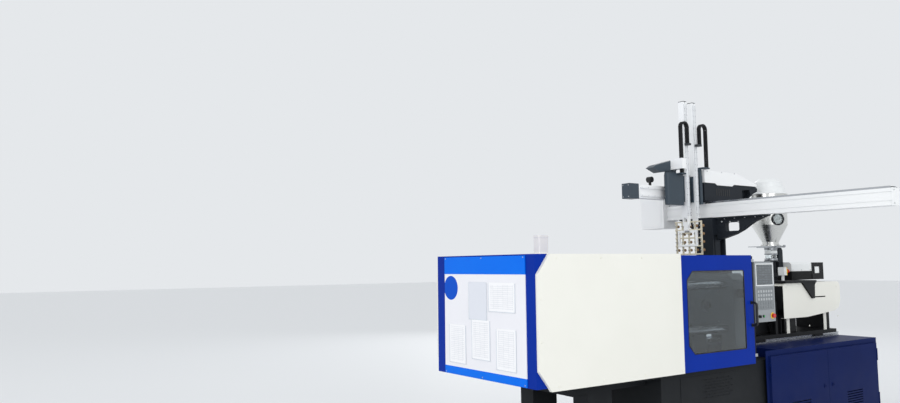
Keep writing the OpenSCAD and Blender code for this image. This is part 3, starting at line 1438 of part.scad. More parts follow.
// Wrist and gripper frame with its suction cups.
module gripper() {
    color(light_grey) {
        bar_y(arm_y - 30 - 6, arm_y + 30 + 6, 20, main_x, wrist_z);
        box([main_x - 20, arm_y - 21, wrist_z - 50], [main_x + 20, arm_y + 21, wrist_z + 16]);
        box([main_x - 20, arm_y - 21, wrist_z - 64], [main_x + 20, arm_y + 21, wrist_z - 49]);
        box([main_x + 2, arm_y - 110, wrist_z - 84], [main_x + 20, arm_y + 110, wrist_z - 63]);
        box([main_x + 2, arm_y - 110, wrist_z - 200], [main_x + 20, arm_y - 92, wrist_z - 63]);
        box([main_x + 2, arm_y + 92, wrist_z - 200], [main_x + 20, arm_y + 110, wrist_z - 63]);
        box([main_x + 2, arm_y - 110, wrist_z - 218], [main_x + 20, arm_y + 110, wrist_z - 199]);
    }
    color(black)
        for (y = [-86, 86], z = [-84, -200])
            translate([main_x + 19, arm_y + y, wrist_z + z + 6]) rotate([0, 90, 0]) {
                cylinder(h = 22, d = 12);
                translate([0, 0, 20]) cylinder(h = 16, d1 = 14, d2 = 34);
            }
}

module sub_arm() {
    vertical_arm(sub_x, sub_x + chain_out[1] - 2 * chain_r);
    color(light_grey) {
        box([sub_x - 18, arm_y - 20, arm_z0 - 60], [sub_x + 18, arm_y + 20, arm_z0 + eps]);
        for (s = [-1, 1])
            box([sub_x - 8, arm_y + s * 12 - 4, arm_z0 - 130], [sub_x + 8, arm_y + s * 12 + 4, arm_z0 - 59]);
    }
}

// A cable chain that rises from its box, turns over and comes down to the arm.
module cable_chain(long_x, side, z0) {
    short_x = long_x - side * 2 * chain_r;
    color(black)
        translate([0, chain_y, 0]) {
            box([long_x - chain_t / 2, 0, z0 + gap], [long_x + chain_t / 2, chain_w, chain_top]);
            translate([(long_x + short_x) / 2, chain_w, chain_top])
                rotate([90, 0, 0])
                    rotate_extrude(angle = 180)
                        translate([chain_r - chain_t / 2, 0])
                            square([chain_t, chain_w]);
            box([short_x - chain_t / 2, 0, chain_top - chain_drop], [short_x + chain_t / 2, chain_w, chain_top]);
        }
}

module main_cable_chain() {
    cable_chain(main_x + chain_out[0], -1, chain_z[0]);
}

module sub_cable_chain() {
    cable_chain(sub_x + chain_out[1], 1, chain_z[1]);
}

place() base_frame();
place() levelling_feet();
place() vent_panels();
place() cabinet_shell();
place() drive_rack();
place() slide_rails();
place() cylinder_platen();
place() clamp_cylinder();
place() tie_bars();
place() fixed_platen();
place() guard_frame();
place() end_cover();
place() notice_board();
place() document_sleeves();
place() side_covers();
place() top_cover();
place() door_tracks();
place() signal_lamp();
place() purge_guard();
place() hopper_gate();
place() operator_panel();
place() panel_screen();
place() carriage_cylinders();
place() robot_post();
place() traverse_beam();
place() robot_control_box();
place() front_door_frame();
place() front_door_window();
place() front_door_handle();
place() rear_door_frame();
place() rear_door_window();
place() rear_door_handle();
place() cabinet_door_left();
place() cabinet_door_right();
place() moving_platen();
place() clamp_ram();
place() ejector();
place() carriage_base();
place() barrel();
place() heater_bands();
place() barrel_guard();
place() injection_cover();
place() screw_motor();
place() hopper_stand();
place() sight_glass();
place() hopper();
place() hopper_loader();
place() thrust_plate();
place() screw();
place() emergency_stop();
place() traverse_carriage();
place() carriage_lid();
place() kick_beam();
place() main_slide_block();
place() main_arm();
place() main_cable_chain();
place() gripper();
place() sub_slide_block();
place() sub_arm();
place() sub_cable_chain();
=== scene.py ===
"""Finishes, fittings, lights and camera of an injection moulding machine with a take-out robot.

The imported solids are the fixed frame. This script dresses them, adds the fittings that are
too fine for them, and sets up a pale studio with the camera.
Lengths in the classes are millimetres about the machine's own axis: X from the clamp end,
Y from the middle and Z from the floor. ROW_SHIFT moves them to the row frame.
"""

from __future__ import annotations

import logging
import math
from abc import ABC, abstractmethod
from collections.abc import Iterable, Iterator
from contextlib import contextmanager
from dataclasses import dataclass, replace
from enum import Enum

import bmesh
import bpy
from mathutils import Matrix, Vector


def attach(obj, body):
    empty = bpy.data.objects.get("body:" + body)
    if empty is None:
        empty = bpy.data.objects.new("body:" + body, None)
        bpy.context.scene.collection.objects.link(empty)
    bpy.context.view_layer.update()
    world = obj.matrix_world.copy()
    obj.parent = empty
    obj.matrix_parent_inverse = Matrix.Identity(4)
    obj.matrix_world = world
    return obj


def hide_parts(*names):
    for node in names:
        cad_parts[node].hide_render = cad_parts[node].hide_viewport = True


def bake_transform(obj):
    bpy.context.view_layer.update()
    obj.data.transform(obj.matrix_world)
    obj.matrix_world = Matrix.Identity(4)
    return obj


Point = tuple[float, float, float] | Vector
Span = tuple[float, float]
Box = tuple[Point, Point]
Tree = bpy.types.NodeTree
Node = bpy.types.Node
Socket = bpy.types.NodeSocket
Material = bpy.types.Material
Vert = bmesh.types.BMVert
Edge = bmesh.types.BMEdge

LOG = logging.getLogger("moulding_machine")
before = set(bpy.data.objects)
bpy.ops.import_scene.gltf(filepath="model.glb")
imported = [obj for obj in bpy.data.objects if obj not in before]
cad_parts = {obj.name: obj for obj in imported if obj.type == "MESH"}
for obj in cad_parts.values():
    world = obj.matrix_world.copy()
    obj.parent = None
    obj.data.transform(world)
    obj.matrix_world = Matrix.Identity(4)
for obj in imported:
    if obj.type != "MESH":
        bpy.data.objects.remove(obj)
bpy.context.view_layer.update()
MM = 0.001
ROW_SHIFT = Vector((-2365.15, 497.5, 0.0))
ALONG = Vector((1, 0, 0))
ACROSS = Vector((0, 1, 0))
UP = Vector((0, 0, 1))
SIDES = (-1, 1)
# Vertices closer than WELD millimetres are merged, and edges flatter than SMOOTH_BELOW are shaded smooth.
WELD = 0.0005
SMOOTH_BELOW = math.radians(35)
# A face points along an axis where the cosine between them is above ALIGNED.
ALIGNED = 0.99
COAT_ROUGHNESS = 0.18

# Blender's names for the nodes and the settings that the finishes share.
MIX = "ShaderNodeMix"
MATH = "ShaderNodeMath"
VECTOR_MATH = "ShaderNodeVectorMath"
SPLIT = "ShaderNodeSeparateXYZ"
NOISE = "ShaderNodeTexNoise"
BRICK = "ShaderNodeTexBrick"
RANGE = "ShaderNodeMapRange"
MAPPING = "ShaderNodeMapping"
BUMP = "ShaderNodeBump"
COLOURS = {"data_type": "RGBA"}
NUMBERS = {"data_type": "FLOAT"}
MINUS = {"operation": "SUBTRACT"}
TIMES = {"operation": "MULTIPLY"}
LARGER = {"operation": "MAXIMUM"}
BELOW = {"operation": "LESS_THAN"}
ABOVE = {"operation": "GREATER_THAN"}


class Axis(Enum):
    """Directions in which a surface was drawn, ground or extruded, as the scale of its grain."""

    X = (0.06, 1.0, 1.0)
    Y = (1.0, 0.06, 1.0)
    Z = (1.0, 1.0, 0.06)
    NONE = (1.0, 1.0, 1.0)


def linear(code: str) -> tuple[float, float, float, float]:
    """Turns an sRGB hex colour into linear light.

    Args:
        code: Six hex digits after a hash.

    Returns:
        Red, green, blue and an alpha of one.
    """
    parts = [int(code[i : i + 2], 16) / 255 for i in (1, 3, 5)]
    r, g, b = [c / 12.92 if c <= 0.04045 else ((c + 0.055) / 1.055) ** 2.4 for c in parts]
    return (r, g, b, 1.0)


def feed(tree: Tree, node: Node, inputs: dict) -> None:
    """Fills or links a node's inputs.

    Args:
        tree: The tree that holds the node.
        node: The node.
        inputs: A socket's name or number to a value, or to the output that feeds it.
    """
    for key, value in inputs.items():
        if isinstance(value, Socket):
            tree.links.new(value, node.inputs[key])
        else:
            node.inputs[key].default_value = value


def add(tree: Tree, kind: str, inputs: dict | None = None, settings: dict | None = None) -> Node:
    """Adds one node, sets its own properties, and fills or links its inputs.

    Args:
        tree: The tree that gets the node.
        kind: Blender's type name of the node.
        inputs: What its sockets get.
        settings: The node's own properties.

    Returns:
        The new node.
    """
    node = tree.nodes.new(kind)
    for key, value in (settings or {}).items():
        setattr(node, key, value)
    feed(tree, node, inputs or {})
    return node


def enter(name: str, data: bpy.types.ID) -> bpy.types.Object:
    """Puts a mesh, a lamp or a camera into the scene.

    Args:
        name: The object's name.
        data: What it shows.

    Returns:
        The new object.
    """
    made = bpy.data.objects.new(name, data)
    bpy.context.scene.collection.objects.link(made)
    return made


def at(x: float, y: float, z: float) -> Vector:
    """Returns a point of the machine, in millimetres, as metres in the row frame."""
    return (Vector((x, y, z)) + ROW_SHIFT) * MM


def circle(middle: Vector, across: Vector, upward: Vector, radius: float, count: int,
           start: float = 0.0) -> list[Vector]:
    """Spreads points evenly round a circle.

    Args:
        middle: Its middle.
        across: The direction that the angles start from.
        upward: The direction that they turn to.
        radius: Its radius.
        count: How many points there are.
        start: The first point's angle in degrees.

    Returns:
        The points.
    """
    turns = [math.radians(start) + math.tau * i / count for i in range(count)]
    return [middle + radius * (across * math.cos(turn) + upward * math.sin(turn)) for turn in turns]


def moved(box: Box, *place: float) -> Box:
    """Returns the two corners of a box, moved by X, Y and Z."""
    low, high = (tuple(a + b for a, b in zip(corner, place)) for corner in box)
    return low, high


@dataclass(frozen=True)
class Zone:
    """A box, in machine millimetres, and the finish that a solid wears inside it."""

    low: Point
    high: Point
    finish: Finish | None = None

    def mask(self, tree: Tree, place: Socket) -> Socket:
        """Marks the points that lie inside the box.

        Args:
            tree: The material's tree.
            place: Object coordinates.

        Returns:
            One inside the box and nought outside it.
        """
        low, high = at(*self.low), at(*self.high)
        off = add(tree, VECTOR_MATH, {0: place, 1: tuple((low + high) / 2)}, MINUS).outputs[0]
        away = add(tree, VECTOR_MATH, {0: off}, {"operation": "ABSOLUTE"}).outputs[0]
        past = add(tree, VECTOR_MATH, {0: away, 1: tuple((high - low) / 2)}, MINUS).outputs[0]
        x, y, z = add(tree, SPLIT, {0: past}).outputs
        two = add(tree, MATH, {0: x, 1: y}, LARGER).outputs[0]
        most = add(tree, MATH, {0: two, 1: z}, LARGER).outputs[0]
        return add(tree, MATH, {0: most, 1: 0.0}, BELOW).outputs[0]


class Look(ABC):
    """What every finish shares: a name, and a material that is made once."""

    name: str

    @abstractmethod
    def make(self) -> Material:
        """Makes the material with its nodes."""

    def build(self) -> Material:
        """Returns the material, which is made at the first call."""
        return bpy.data.materials.get(self.name) or self.make()

    def start(self) -> tuple[Material, Tree, Node, Socket]:
        """Starts the material.

        Returns:
            The material, its tree, its shader, and the Object coordinates that its patterns read.
        """
        material = bpy.data.materials.new(self.name)
        material.use_nodes = True
        tree = material.node_tree
        place = add(tree, "ShaderNodeTexCoord").outputs["Object"]
        return material, tree, tree.nodes["Principled BSDF"], place


@dataclass(frozen=True)
class Finish(Look):
    """A surface: its colour, how it was made, and the two scales of pattern that show on it.

    The cloud is the slow change of tone across a surface, and the grain is its texture.
    """

    name: str
    colour: str
    tone: str
    roughness: float
    grain_mm: float
    grain_height_mm: float
    metallic: float = 0.0
    lay: Axis = Axis.NONE
    spread: float = 0.06
    cloud_mm: float = 420.0
    coat: float = 0.0
    shine: float = 0.5
    dust: str | None = None
    dust_top_mm: float = 700.0
    dust_shares: Span = (0.32, 0.04)
    dust_patch_mm: float = 142.86
    grain_span: Span = (0.3, 0.7)
    grain_strength: float = 0.6
    zones: tuple[Zone, ...] = ()

    def over(self, name: str, *zones: Zone) -> Finish:
        """Returns this finish under another name, with zones that wear finishes of their own."""
        return replace(self, name=name, zones=zones)

    def make(self) -> Material:
        """Makes the material, with the finishes of its zones mixed in.

        Returns:
            The material with its nodes.
        """
        material, tree, shader, place = self.start()
        colour, gloss, grain = self.surface(tree, place)
        metal: float | Socket = self.metallic
        for zone in self.zones:
            mask = zone.mask(tree, place)
            other, shine, _ = zone.finish.surface(tree, place)
            colour = add(tree, MIX, {0: mask, 6: colour, 7: other}, COLOURS).outputs[2]
            gloss = add(tree, MIX, {0: mask, 2: gloss, 3: shine}, NUMBERS).outputs[0]
            if zone.finish.metallic != self.metallic:
                metal = add(tree, MIX, {0: mask, 2: metal, 3: zone.finish.metallic}, NUMBERS).outputs[0]
        bump = add(tree, BUMP, {
            "Height": grain, "Strength": self.grain_strength, "Distance": self.grain_height_mm * MM,
        })
        feed(tree, shader, {
            "Base Color": colour, "Roughness": gloss, "Metallic": metal, "Normal": bump.outputs[0],
            "Coat Weight": self.coat, "Coat Roughness": COAT_ROUGHNESS, "Specular IOR Level": self.shine,
        })
        return material

    def surface(self, tree: Tree, place: Socket) -> tuple[Socket, Socket, Socket]:
        """Draws the finish without its shader.

        Args:
            tree: The material's tree.
            place: Object coordinates.

        Returns:
            Its colour, its roughness and the height of its grain.
        """
        laid = add(tree, MAPPING, {"Vector": place, "Scale": self.lay.value}).outputs[0]
        slow, fine = 1 / (self.cloud_mm * MM), 1 / (self.grain_mm * MM)
        cloud = add(tree, NOISE, {"Vector": place, "Scale": slow, "Detail": 3.0}).outputs[0]
        grain = add(tree, NOISE, {"Vector": laid, "Scale": fine, "Detail": 2.0}).outputs[0]
        colour = add(tree, MIX, {0: cloud, 6: linear(self.colour), 7: linear(self.tone)}, COLOURS).outputs[2]
        if self.dust:
            colour = self.dusted(tree, place, colour)
        dull, bright = self.roughness - self.spread, self.roughness + self.spread
        least, most = self.grain_span
        gloss = add(tree, RANGE, {
            "Value": grain, "From Min": least, "From Max": most, "To Min": dull, "To Max": bright,
        })
        return colour, gloss.outputs[0], grain

    def dusted(self, tree: Tree, place: Socket, colour: Socket) -> Socket:
        """Lays shop dust over a colour, thickest near the floor.

        Args:
            tree: The material's tree.
            place: Object coordinates.
            colour: The clean colour.

        Returns:
            The dusty colour.
        """
        height = add(tree, SPLIT, {0: place}).outputs[2]
        near, far = self.dust_shares
        top = self.dust_top_mm * MM
        low = add(tree, RANGE, {"Value": height, "From Max": top, "To Min": near, "To Max": far})
        size = 1 / (self.dust_patch_mm * MM)
        patch = add(tree, NOISE, {"Vector": place, "Scale": size, "Detail": 6.0}).outputs[0]
        share = add(tree, MATH, {0: low.outputs[0], 1: patch}, TIMES).outputs[0]
        return add(tree, MIX, {0: share, 6: colour, 7: linear(self.dust)}, COLOURS).outputs[2]


# Powder coat on sheet steel: sprayed polyester that flows out with a fine orange peel and a soft gloss.
# The peel is 1 to 2 mm on the real sheet and is drawn coarser, so that it shows.
CREAM_COAT = Finish("powder_coat_warm_white", "#EFEEE6", "#E9E8DF", 0.42, 7.0, 0.05)
WHITE_COAT = Finish("powder_coat_white", "#F7F8F8", "#F2F3F4", 0.36, 6.0, 0.04)
ROYAL_COAT = Finish("powder_coat_royal_blue", "#06319F", "#052B8E", 0.34, 6.0, 0.05, shine=0.06)
# The cabinet's coat is the machine's royal blue, painted darker as shade, with real shop dust thickest near
# the floor.
SHADED_ROYAL_COAT = Finish("powder_coat_royal_blue_painted_shade", "#0E2058", "#0B1A4A", 0.4, 6.0, 0.05, shine=0.03, dust="#484B5C")
# Textured coat: the spray is left coarse, so it is duller and hides welds and fingerprints.
DARK_COAT = Finish("textured_coat_charcoal", "#1E2124", "#191B1E", 0.55, 5.0, 0.12, shine=0.12,
                   dust="#5A5B5D")
BLACK_COAT = Finish("textured_coat_black", "#191A1C", "#141517", 0.5, 5.0, 0.1, shine=0.2)
SLATE_COAT = Finish("textured_coat_slate", "#3A4752", "#333F49", 0.44, 5.0, 0.08, shine=0.35)
POST_COAT = Finish("textured_coat_graphite", "#252A31", "#20252B", 0.5, 5.0, 0.1, shine=0.15)
GREY_COAT = Finish("textured_coat_light_grey", "#9B9FA2", "#92979A", 0.48, 4.0, 0.08)
SILVER_COAT = Finish("textured_coat_silver", "#EDEFEF", "#E5E8E9", 0.4, 4.0, 0.06, metallic=0.05)
# Polyester film, printed from behind: an even satin skin over the panel and its domed keys.
MID_FILM = Finish("printed_polyester_film", "#868B8E", "#808588", 0.45, 4.0, 0.03)
PALE_KEY = Finish("printed_polyester_key_film", "#B4B8BA", "#AEB2B4", 0.42, 4.0, 0.03)
# Enamel sprayed over ductile iron castings: glossier, over the sand's own coarse skin.
CAST_ENAMEL = Finish("enamel_on_cast_iron", "#5B6368", "#50585D", 0.4, 11.0, 0.3)
# Zinc plate on mounting sheet: pale grey with the plating's cloudy spangle.
ZINC_PLATE = Finish("zinc_plated_sheet", "#B9BBB8", "#A5A8A6", 0.42, 9.0, 0.05, 0.6, cloud_mm=60.0)
# Zinc-plated screws: brighter and smoother than sheet.
ZINC_BRIGHT = Finish("zinc_plated_fasteners", "#C9CBCC", "#B8BABC", 0.3, 4.0, 0.05, 0.9, cloud_mm=30.0)
# Ground and hard-chromed steel: long fine lines, with an oil film that evens the gloss.
GROUND_STEEL = Finish("ground_chromed_steel", "#C4C6C9", "#B1B4B8", 0.24, 6.0, 0.05, 1.0, Axis.X,
                      spread=0.08)
# Hardened guide rail: bright and finely ground along its length.
RAIL_STEEL = Finish("bright_hardened_rail_steel", "#E3E5E7", "#D6D9DC", 0.3, 6.0, 0.02, 0.4, Axis.Z)
# Turned steel: rings of fine feed marks, which draw the highlight out along the bar.
TURNED_STEEL = Finish("turned_steel", "#A8AAAD", "#96999D", 0.34, 5.0, 0.05, 1.0, Axis.Y)
# Black oxide on steel: a dark metal with a dull, slightly oily sheen.
BLACK_OXIDE = Finish("black_oxide_steel", "#3B3D40", "#2F3134", 0.42, 5.0, 0.05, 0.85)
# Brushed stainless sheet: satin lines run round the hopper, so its highlights stand upright.
STAINLESS = Finish("brushed_stainless_steel", "#E0E0DD", "#D0D0CD", 0.26, 5.0, 0.03, 1.0, Axis.Y,
                   spread=0.09)
# Mica heater bands: thin steel jackets, straw-coloured by the heat.
HEATER_STEEL = Finish("heat_tinted_steel", "#B3A388", "#8F7D66", 0.4, 8.0, 0.05, 0.9, cloud_mm=70.0)
# Anodised aluminium profile: die lines along its length under a clear matt layer.
PROFILE_Z = Finish("anodised_aluminium_upright", "#F8F9FA", "#F1F3F4", 0.33, 5.0, 0.02, 0.08, Axis.Z)
PROFILE_Y = Finish("anodised_aluminium_beam", "#F6F7F7", "#EFF1F1", 0.34, 5.0, 0.02, 0.12, Axis.Y)
# Hard anodising leaves a warm tan cast on the gripper's bars.
PROFILE_TAN = Finish("hard_anodised_aluminium_bars", "#DDD5C0", "#CFC7B1", 0.36, 5.0, 0.02, 0.2, Axis.Z)
# Glass-filled nylon, moulded: matt black with a spark-eroded grain.
BLACK_NYLON = Finish("moulded_black_nylon", "#17181A", "#121315", 0.5, 3.0, 0.08)
LINK_NYLON = Finish("moulded_link_nylon", "#151619", "#101114", 0.45, 3.0, 0.05, shine=0.25)
# White polypropylene, moulded: slightly waxy, with soft highlights.
WHITE_RESIN = Finish("moulded_white_polypropylene", "#ECEEEE", "#E2E5E6", 0.38, 5.0, 0.05, coat=0.1)
# Opal acrylic, moulded: light that spreads inside it keeps it white all round.
OPAL = Finish("moulded_opal_acrylic", "#FDFAF1", "#FAF7EE", 0.3, 5.0, 0.02, coat=0.1)
# Vulcanised rubber: dull and dark, with the faint bloom of its mould.
RUBBER = Finish("vulcanised_rubber", "#1A1A1B", "#202021", 0.72, 4.0, 0.1)
# Coloured ABS, moulded: a clean signal colour under a hard gloss.
RED_RESIN = Finish("moulded_red_abs", "#D21F1B", "#C41815", 0.3, 4.0, 0.02, coat=0.4)
GREEN_RESIN = Finish("moulded_green_abs", "#1E9E4A", "#1A8C41", 0.32, 4.0, 0.02, coat=0.3)
YELLOW_RESIN = Finish("moulded_yellow_abs", "#F1C40F", "#E6B90C", 0.35, 4.0, 0.02, coat=0.3)
# Welded vinyl: milky where two films are joined.
VINYL = Finish("welded_clear_vinyl", "#DDE3E9", "#D3DAE2", 0.25, 4.0, 0.03, coat=0.3)
# Silicone, moulded thin: amber, soft, with a satin skin.
SILICONE = Finish("moulded_amber_silicone", "#9C7A52", "#8A6A45", 0.4, 4.0, 0.03, coat=0.1)


@dataclass(frozen=True)
class Glazing(Look):
    """Clear sheet or tube: its own index, a slight tint, and the haze that wiping leaves in streaks."""

    name: str
    colour: str
    ior: float
    share: float
    haze: float
    streak_mm: float = 333.33
    streak_lay: Point = (1.0, 1.0, 4.0)

    def make(self) -> Material:
        """Makes the clear material.

        Returns:
            The material with its nodes.
        """
        material, tree, shader, place = self.start()
        wiped = add(tree, MAPPING, {"Vector": place, "Scale": self.streak_lay}).outputs[0]
        size = 1 / (self.streak_mm * MM)
        haze = add(tree, NOISE, {"Vector": wiped, "Scale": size, "Detail": 5.0}).outputs[0]
        rough = add(tree, RANGE, {"Value": haze, "To Min": 0.0, "To Max": self.haze}).outputs[0]
        feed(tree, shader, {
            "Base Color": linear(self.colour), "IOR": self.ior, "Transmission Weight": self.share,
            "Roughness": rough,
        })
        return material


# Polycarbonate sheet in the doors: thick, smoke-tinted, and a little hazy.
SMOKED_PANE = Glazing("smoked_polycarbonate", "#A8B3B7", 1.585, 0.98, 0.05)
# Extruded acrylic tube: almost colourless, so that the granules would show.
CLEAR_TUBE = Glazing("clear_acrylic_tube", "#F2F6F7", 1.49, 0.97, 0.03)
# Glass disc of the hopper's port, dimmed by the dust behind it.
PORT_GLASS = Glazing("clear_port_glass", "#EDF3F4", 1.5, 0.8, 0.05)


@dataclass(frozen=True)
class BoardPrint(Look):
    """Printed board: a pale field with blue bands and a plain round spot, under matt film."""

    name: str = "printed_board_film"
    field: tuple[str, str] = ("#EDEDF1", "#E8E8ED")
    band: tuple[str, str] = ("#0269E6", "#0873EA")
    spot: str = "#0450C4"
    header_mm: float = 1574.0
    footer_mm: float = 838.0
    spot_centre: Point = (-8.0, 415.0, 1463.0)
    spot_radius: float = 97.0
    cloud_mm: float = 250.0
    film_mm: float = 8.333
    film_height_mm: float = 0.03
    shine: float = 0.08
    roughness: float = 0.36

    def make(self) -> Material:
        """Makes the print from the height and the place on the board.

        Returns:
            The material with its nodes.
        """
        material, tree, shader, place = self.start()
        height = add(tree, SPLIT, {0: place}).outputs[2]
        slow, fine = 1 / (self.cloud_mm * MM), 1 / (self.film_mm * MM)
        cloud = add(tree, NOISE, {"Vector": place, "Scale": slow, "Detail": 3.0}).outputs[0]
        field, band = [
            add(tree, MIX, {0: cloud, 6: linear(first), 7: linear(second)}, COLOURS).outputs[2]
            for first, second in (self.field, self.band)
        ]
        top = add(tree, MATH, {0: height, 1: self.header_mm * MM}, ABOVE).outputs[0]
        low = add(tree, MATH, {0: height, 1: self.footer_mm * MM}, BELOW).outputs[0]
        either = add(tree, MATH, {0: top, 1: low}, LARGER).outputs[0]
        away = add(tree, VECTOR_MATH, {0: place, 1: tuple(at(*self.spot_centre))}, {"operation": "DISTANCE"})
        inside = add(tree, MATH, {0: away.outputs["Value"], 1: self.spot_radius * MM}, BELOW).outputs[0]
        banded = add(tree, MIX, {0: either, 6: field, 7: band}, COLOURS).outputs[2]
        spotted = add(tree, MIX, {0: inside, 6: banded, 7: linear(self.spot)}, COLOURS).outputs[2]
        film = add(tree, NOISE, {"Vector": place, "Scale": fine}).outputs[0]
        rise = self.film_height_mm * MM
        bump = add(tree, BUMP, {"Height": film, "Strength": 0.3, "Distance": rise}).outputs[0]
        feed(tree, shader, {
            "Base Color": spotted, "Normal": bump, "Specular IOR Level": self.shine,
            "Roughness": self.roughness,
        })
        return material


@dataclass(frozen=True)
class PrintedSheet(Look):
    """Printed forms under the pockets' film: thin grey rules on white paper, and no words."""

    sheets: tuple[tuple[float, ...], ...]
    empty: tuple[float, ...]
    name: str = "office_paper_with_rules"
    paper: str = "#F4F4F6"
    tone: str = "#EEEEF1"
    rule: str = "#CBD0D5"
    bare: str = "#DDE0E8"
    margin_mm: float = 16.0
    cell_mm: Span = (58.0, 15.0)
    rule_mm: float = 0.9
    depth_mm: float = 30.0
    fibre_mm: float = 2.857
    fibre_height_mm: float = 0.02
    roughness: float = 0.6
    film: Span = (0.4, 0.12)

    def on_sheet(self, tree: Tree, place: Socket, sheet: tuple[float, ...], margin: float) -> Socket:
        """Marks one sheet, less a margin all round.

        Args:
            tree: The material's tree.
            place: Object coordinates.
            sheet: Its middle across and up, its width and its height.
            margin: How much is left out at its edges.

        Returns:
            One on the sheet and nought off it.
        """
        y, z, wide, high = sheet
        half_wide, half_high = wide / 2 - margin, high / 2 - margin
        low = (-self.depth_mm, y - half_wide, z - half_high)
        return Zone(low, (0.0, y + half_wide, z + half_high)).mask(tree, place)

    def make(self) -> Material:
        """Makes the paper with its rules.

        Returns:
            The material with its nodes.
        """
        material, tree, shader, place = self.start()
        _, y, z = add(tree, SPLIT, {0: place}).outputs
        flat = add(tree, "ShaderNodeCombineXYZ", {0: y, 1: z}).outputs[0]
        paper = linear(self.paper)
        rows = add(tree, BRICK, {
            "Vector": flat, "Scale": 1.0, "Color1": paper, "Color2": linear(self.tone),
            "Mortar": linear(self.rule), "Mortar Size": self.rule_mm * MM, "Mortar Smooth": 0.2,
            "Brick Width": self.cell_mm[0] * MM, "Row Height": self.cell_mm[1] * MM,
        }, {"offset": 0.0}).outputs[0]
        inner: float | Socket = 0.0
        for sheet in self.sheets:
            ruled = self.on_sheet(tree, place, sheet, self.margin_mm)
            inner = add(tree, MATH, {0: inner, 1: ruled}, LARGER).outputs[0]
        ruled = add(tree, MIX, {0: inner, 6: paper, 7: rows}, COLOURS).outputs[2]
        pocket = self.on_sheet(tree, place, self.empty, 0.0)
        bare = add(tree, MIX, {0: pocket, 6: ruled, 7: linear(self.bare)}, COLOURS).outputs[2]
        fibre = add(tree, NOISE, {"Vector": place, "Scale": 1 / (self.fibre_mm * MM)}).outputs[0]
        rise = self.fibre_height_mm * MM
        bump = add(tree, BUMP, {"Height": fibre, "Strength": 0.3, "Distance": rise}).outputs[0]
        feed(tree, shader, {
            "Base Color": bare, "Normal": bump, "Roughness": self.roughness,
            "Coat Weight": self.film[0], "Coat Roughness": self.film[1],
        })
        return material


@dataclass(frozen=True)
class ScreenGlass(Look):
    """Glass face of the display: clear and glossy over a grey picture of plain fields."""

    name: str = "display_cover_glass"
    dark: str = "#3C4348"
    lit: str = "#545C61"
    cell_mm: Span = (48.0, 22.0)
    line_mm: float = 3.0
    dark_share: float = -0.3
    roughness: float = 0.12
    glass: Span = (1.0, 0.04)

    def make(self) -> Material:
        """Makes the display's material.

        Returns:
            The material with its nodes.
        """
        material, tree, shader, place = self.start()
        upright = add(tree, MAPPING, {"Vector": place, "Rotation": (math.radians(90), 0.0, 0.0)}).outputs[0]
        fields = add(tree, BRICK, {
            "Vector": upright, "Scale": 1.0, "Color1": linear(self.lit), "Color2": linear(self.dark),
            "Mortar": linear(self.dark), "Mortar Size": self.line_mm * MM, "Bias": self.dark_share,
            "Brick Width": self.cell_mm[0] * MM, "Row Height": self.cell_mm[1] * MM,
        }, {"offset": 0.0}).outputs[0]
        feed(tree, shader, {
            "Base Color": fields, "Roughness": self.roughness,
            "Coat Weight": self.glass[0], "Coat Roughness": self.glass[1],
        })
        return material


@dataclass(frozen=True)
class Head:
    """A screw head: its radius, its height, its facets, its rounded rim and its hexagon socket."""

    radius: float
    height: float
    sides: int = 16
    socket: float = 0.0
    rim_share: float = 0.45


# Fasteners of the covers, the hopper, the drive and the robot.
COVER_SCREW = Head(8.0, 4.5, socket=3.2)
BOARD_SCREW = Head(5.0, 1.6)
FLANGE_BOLT = Head(8.0, 6.0, sides=6, rim_share=0.12)
PORT_SCREW = Head(3.6, 2.4, sides=12)
CAP_SCREW = Head(6.0, 4.0, socket=2.6)
LID_SCREW = Head(6.0, 3.4, socket=2.4)
BEAM_BOLT = Head(8.0, 8.0, socket=3.6)
BRACKET_BOLT = Head(9.0, 7.0, socket=4.0)
TRACK_SCREW = Head(5.0, 1.6, sides=12)
FAN_SCREW = Head(3.4, 2.2, sides=12)
GUIDE_SCREW = Head(3.4, 1.4, sides=12)
RAIL_SCREW = Head(2.8, 1.2, sides=10)


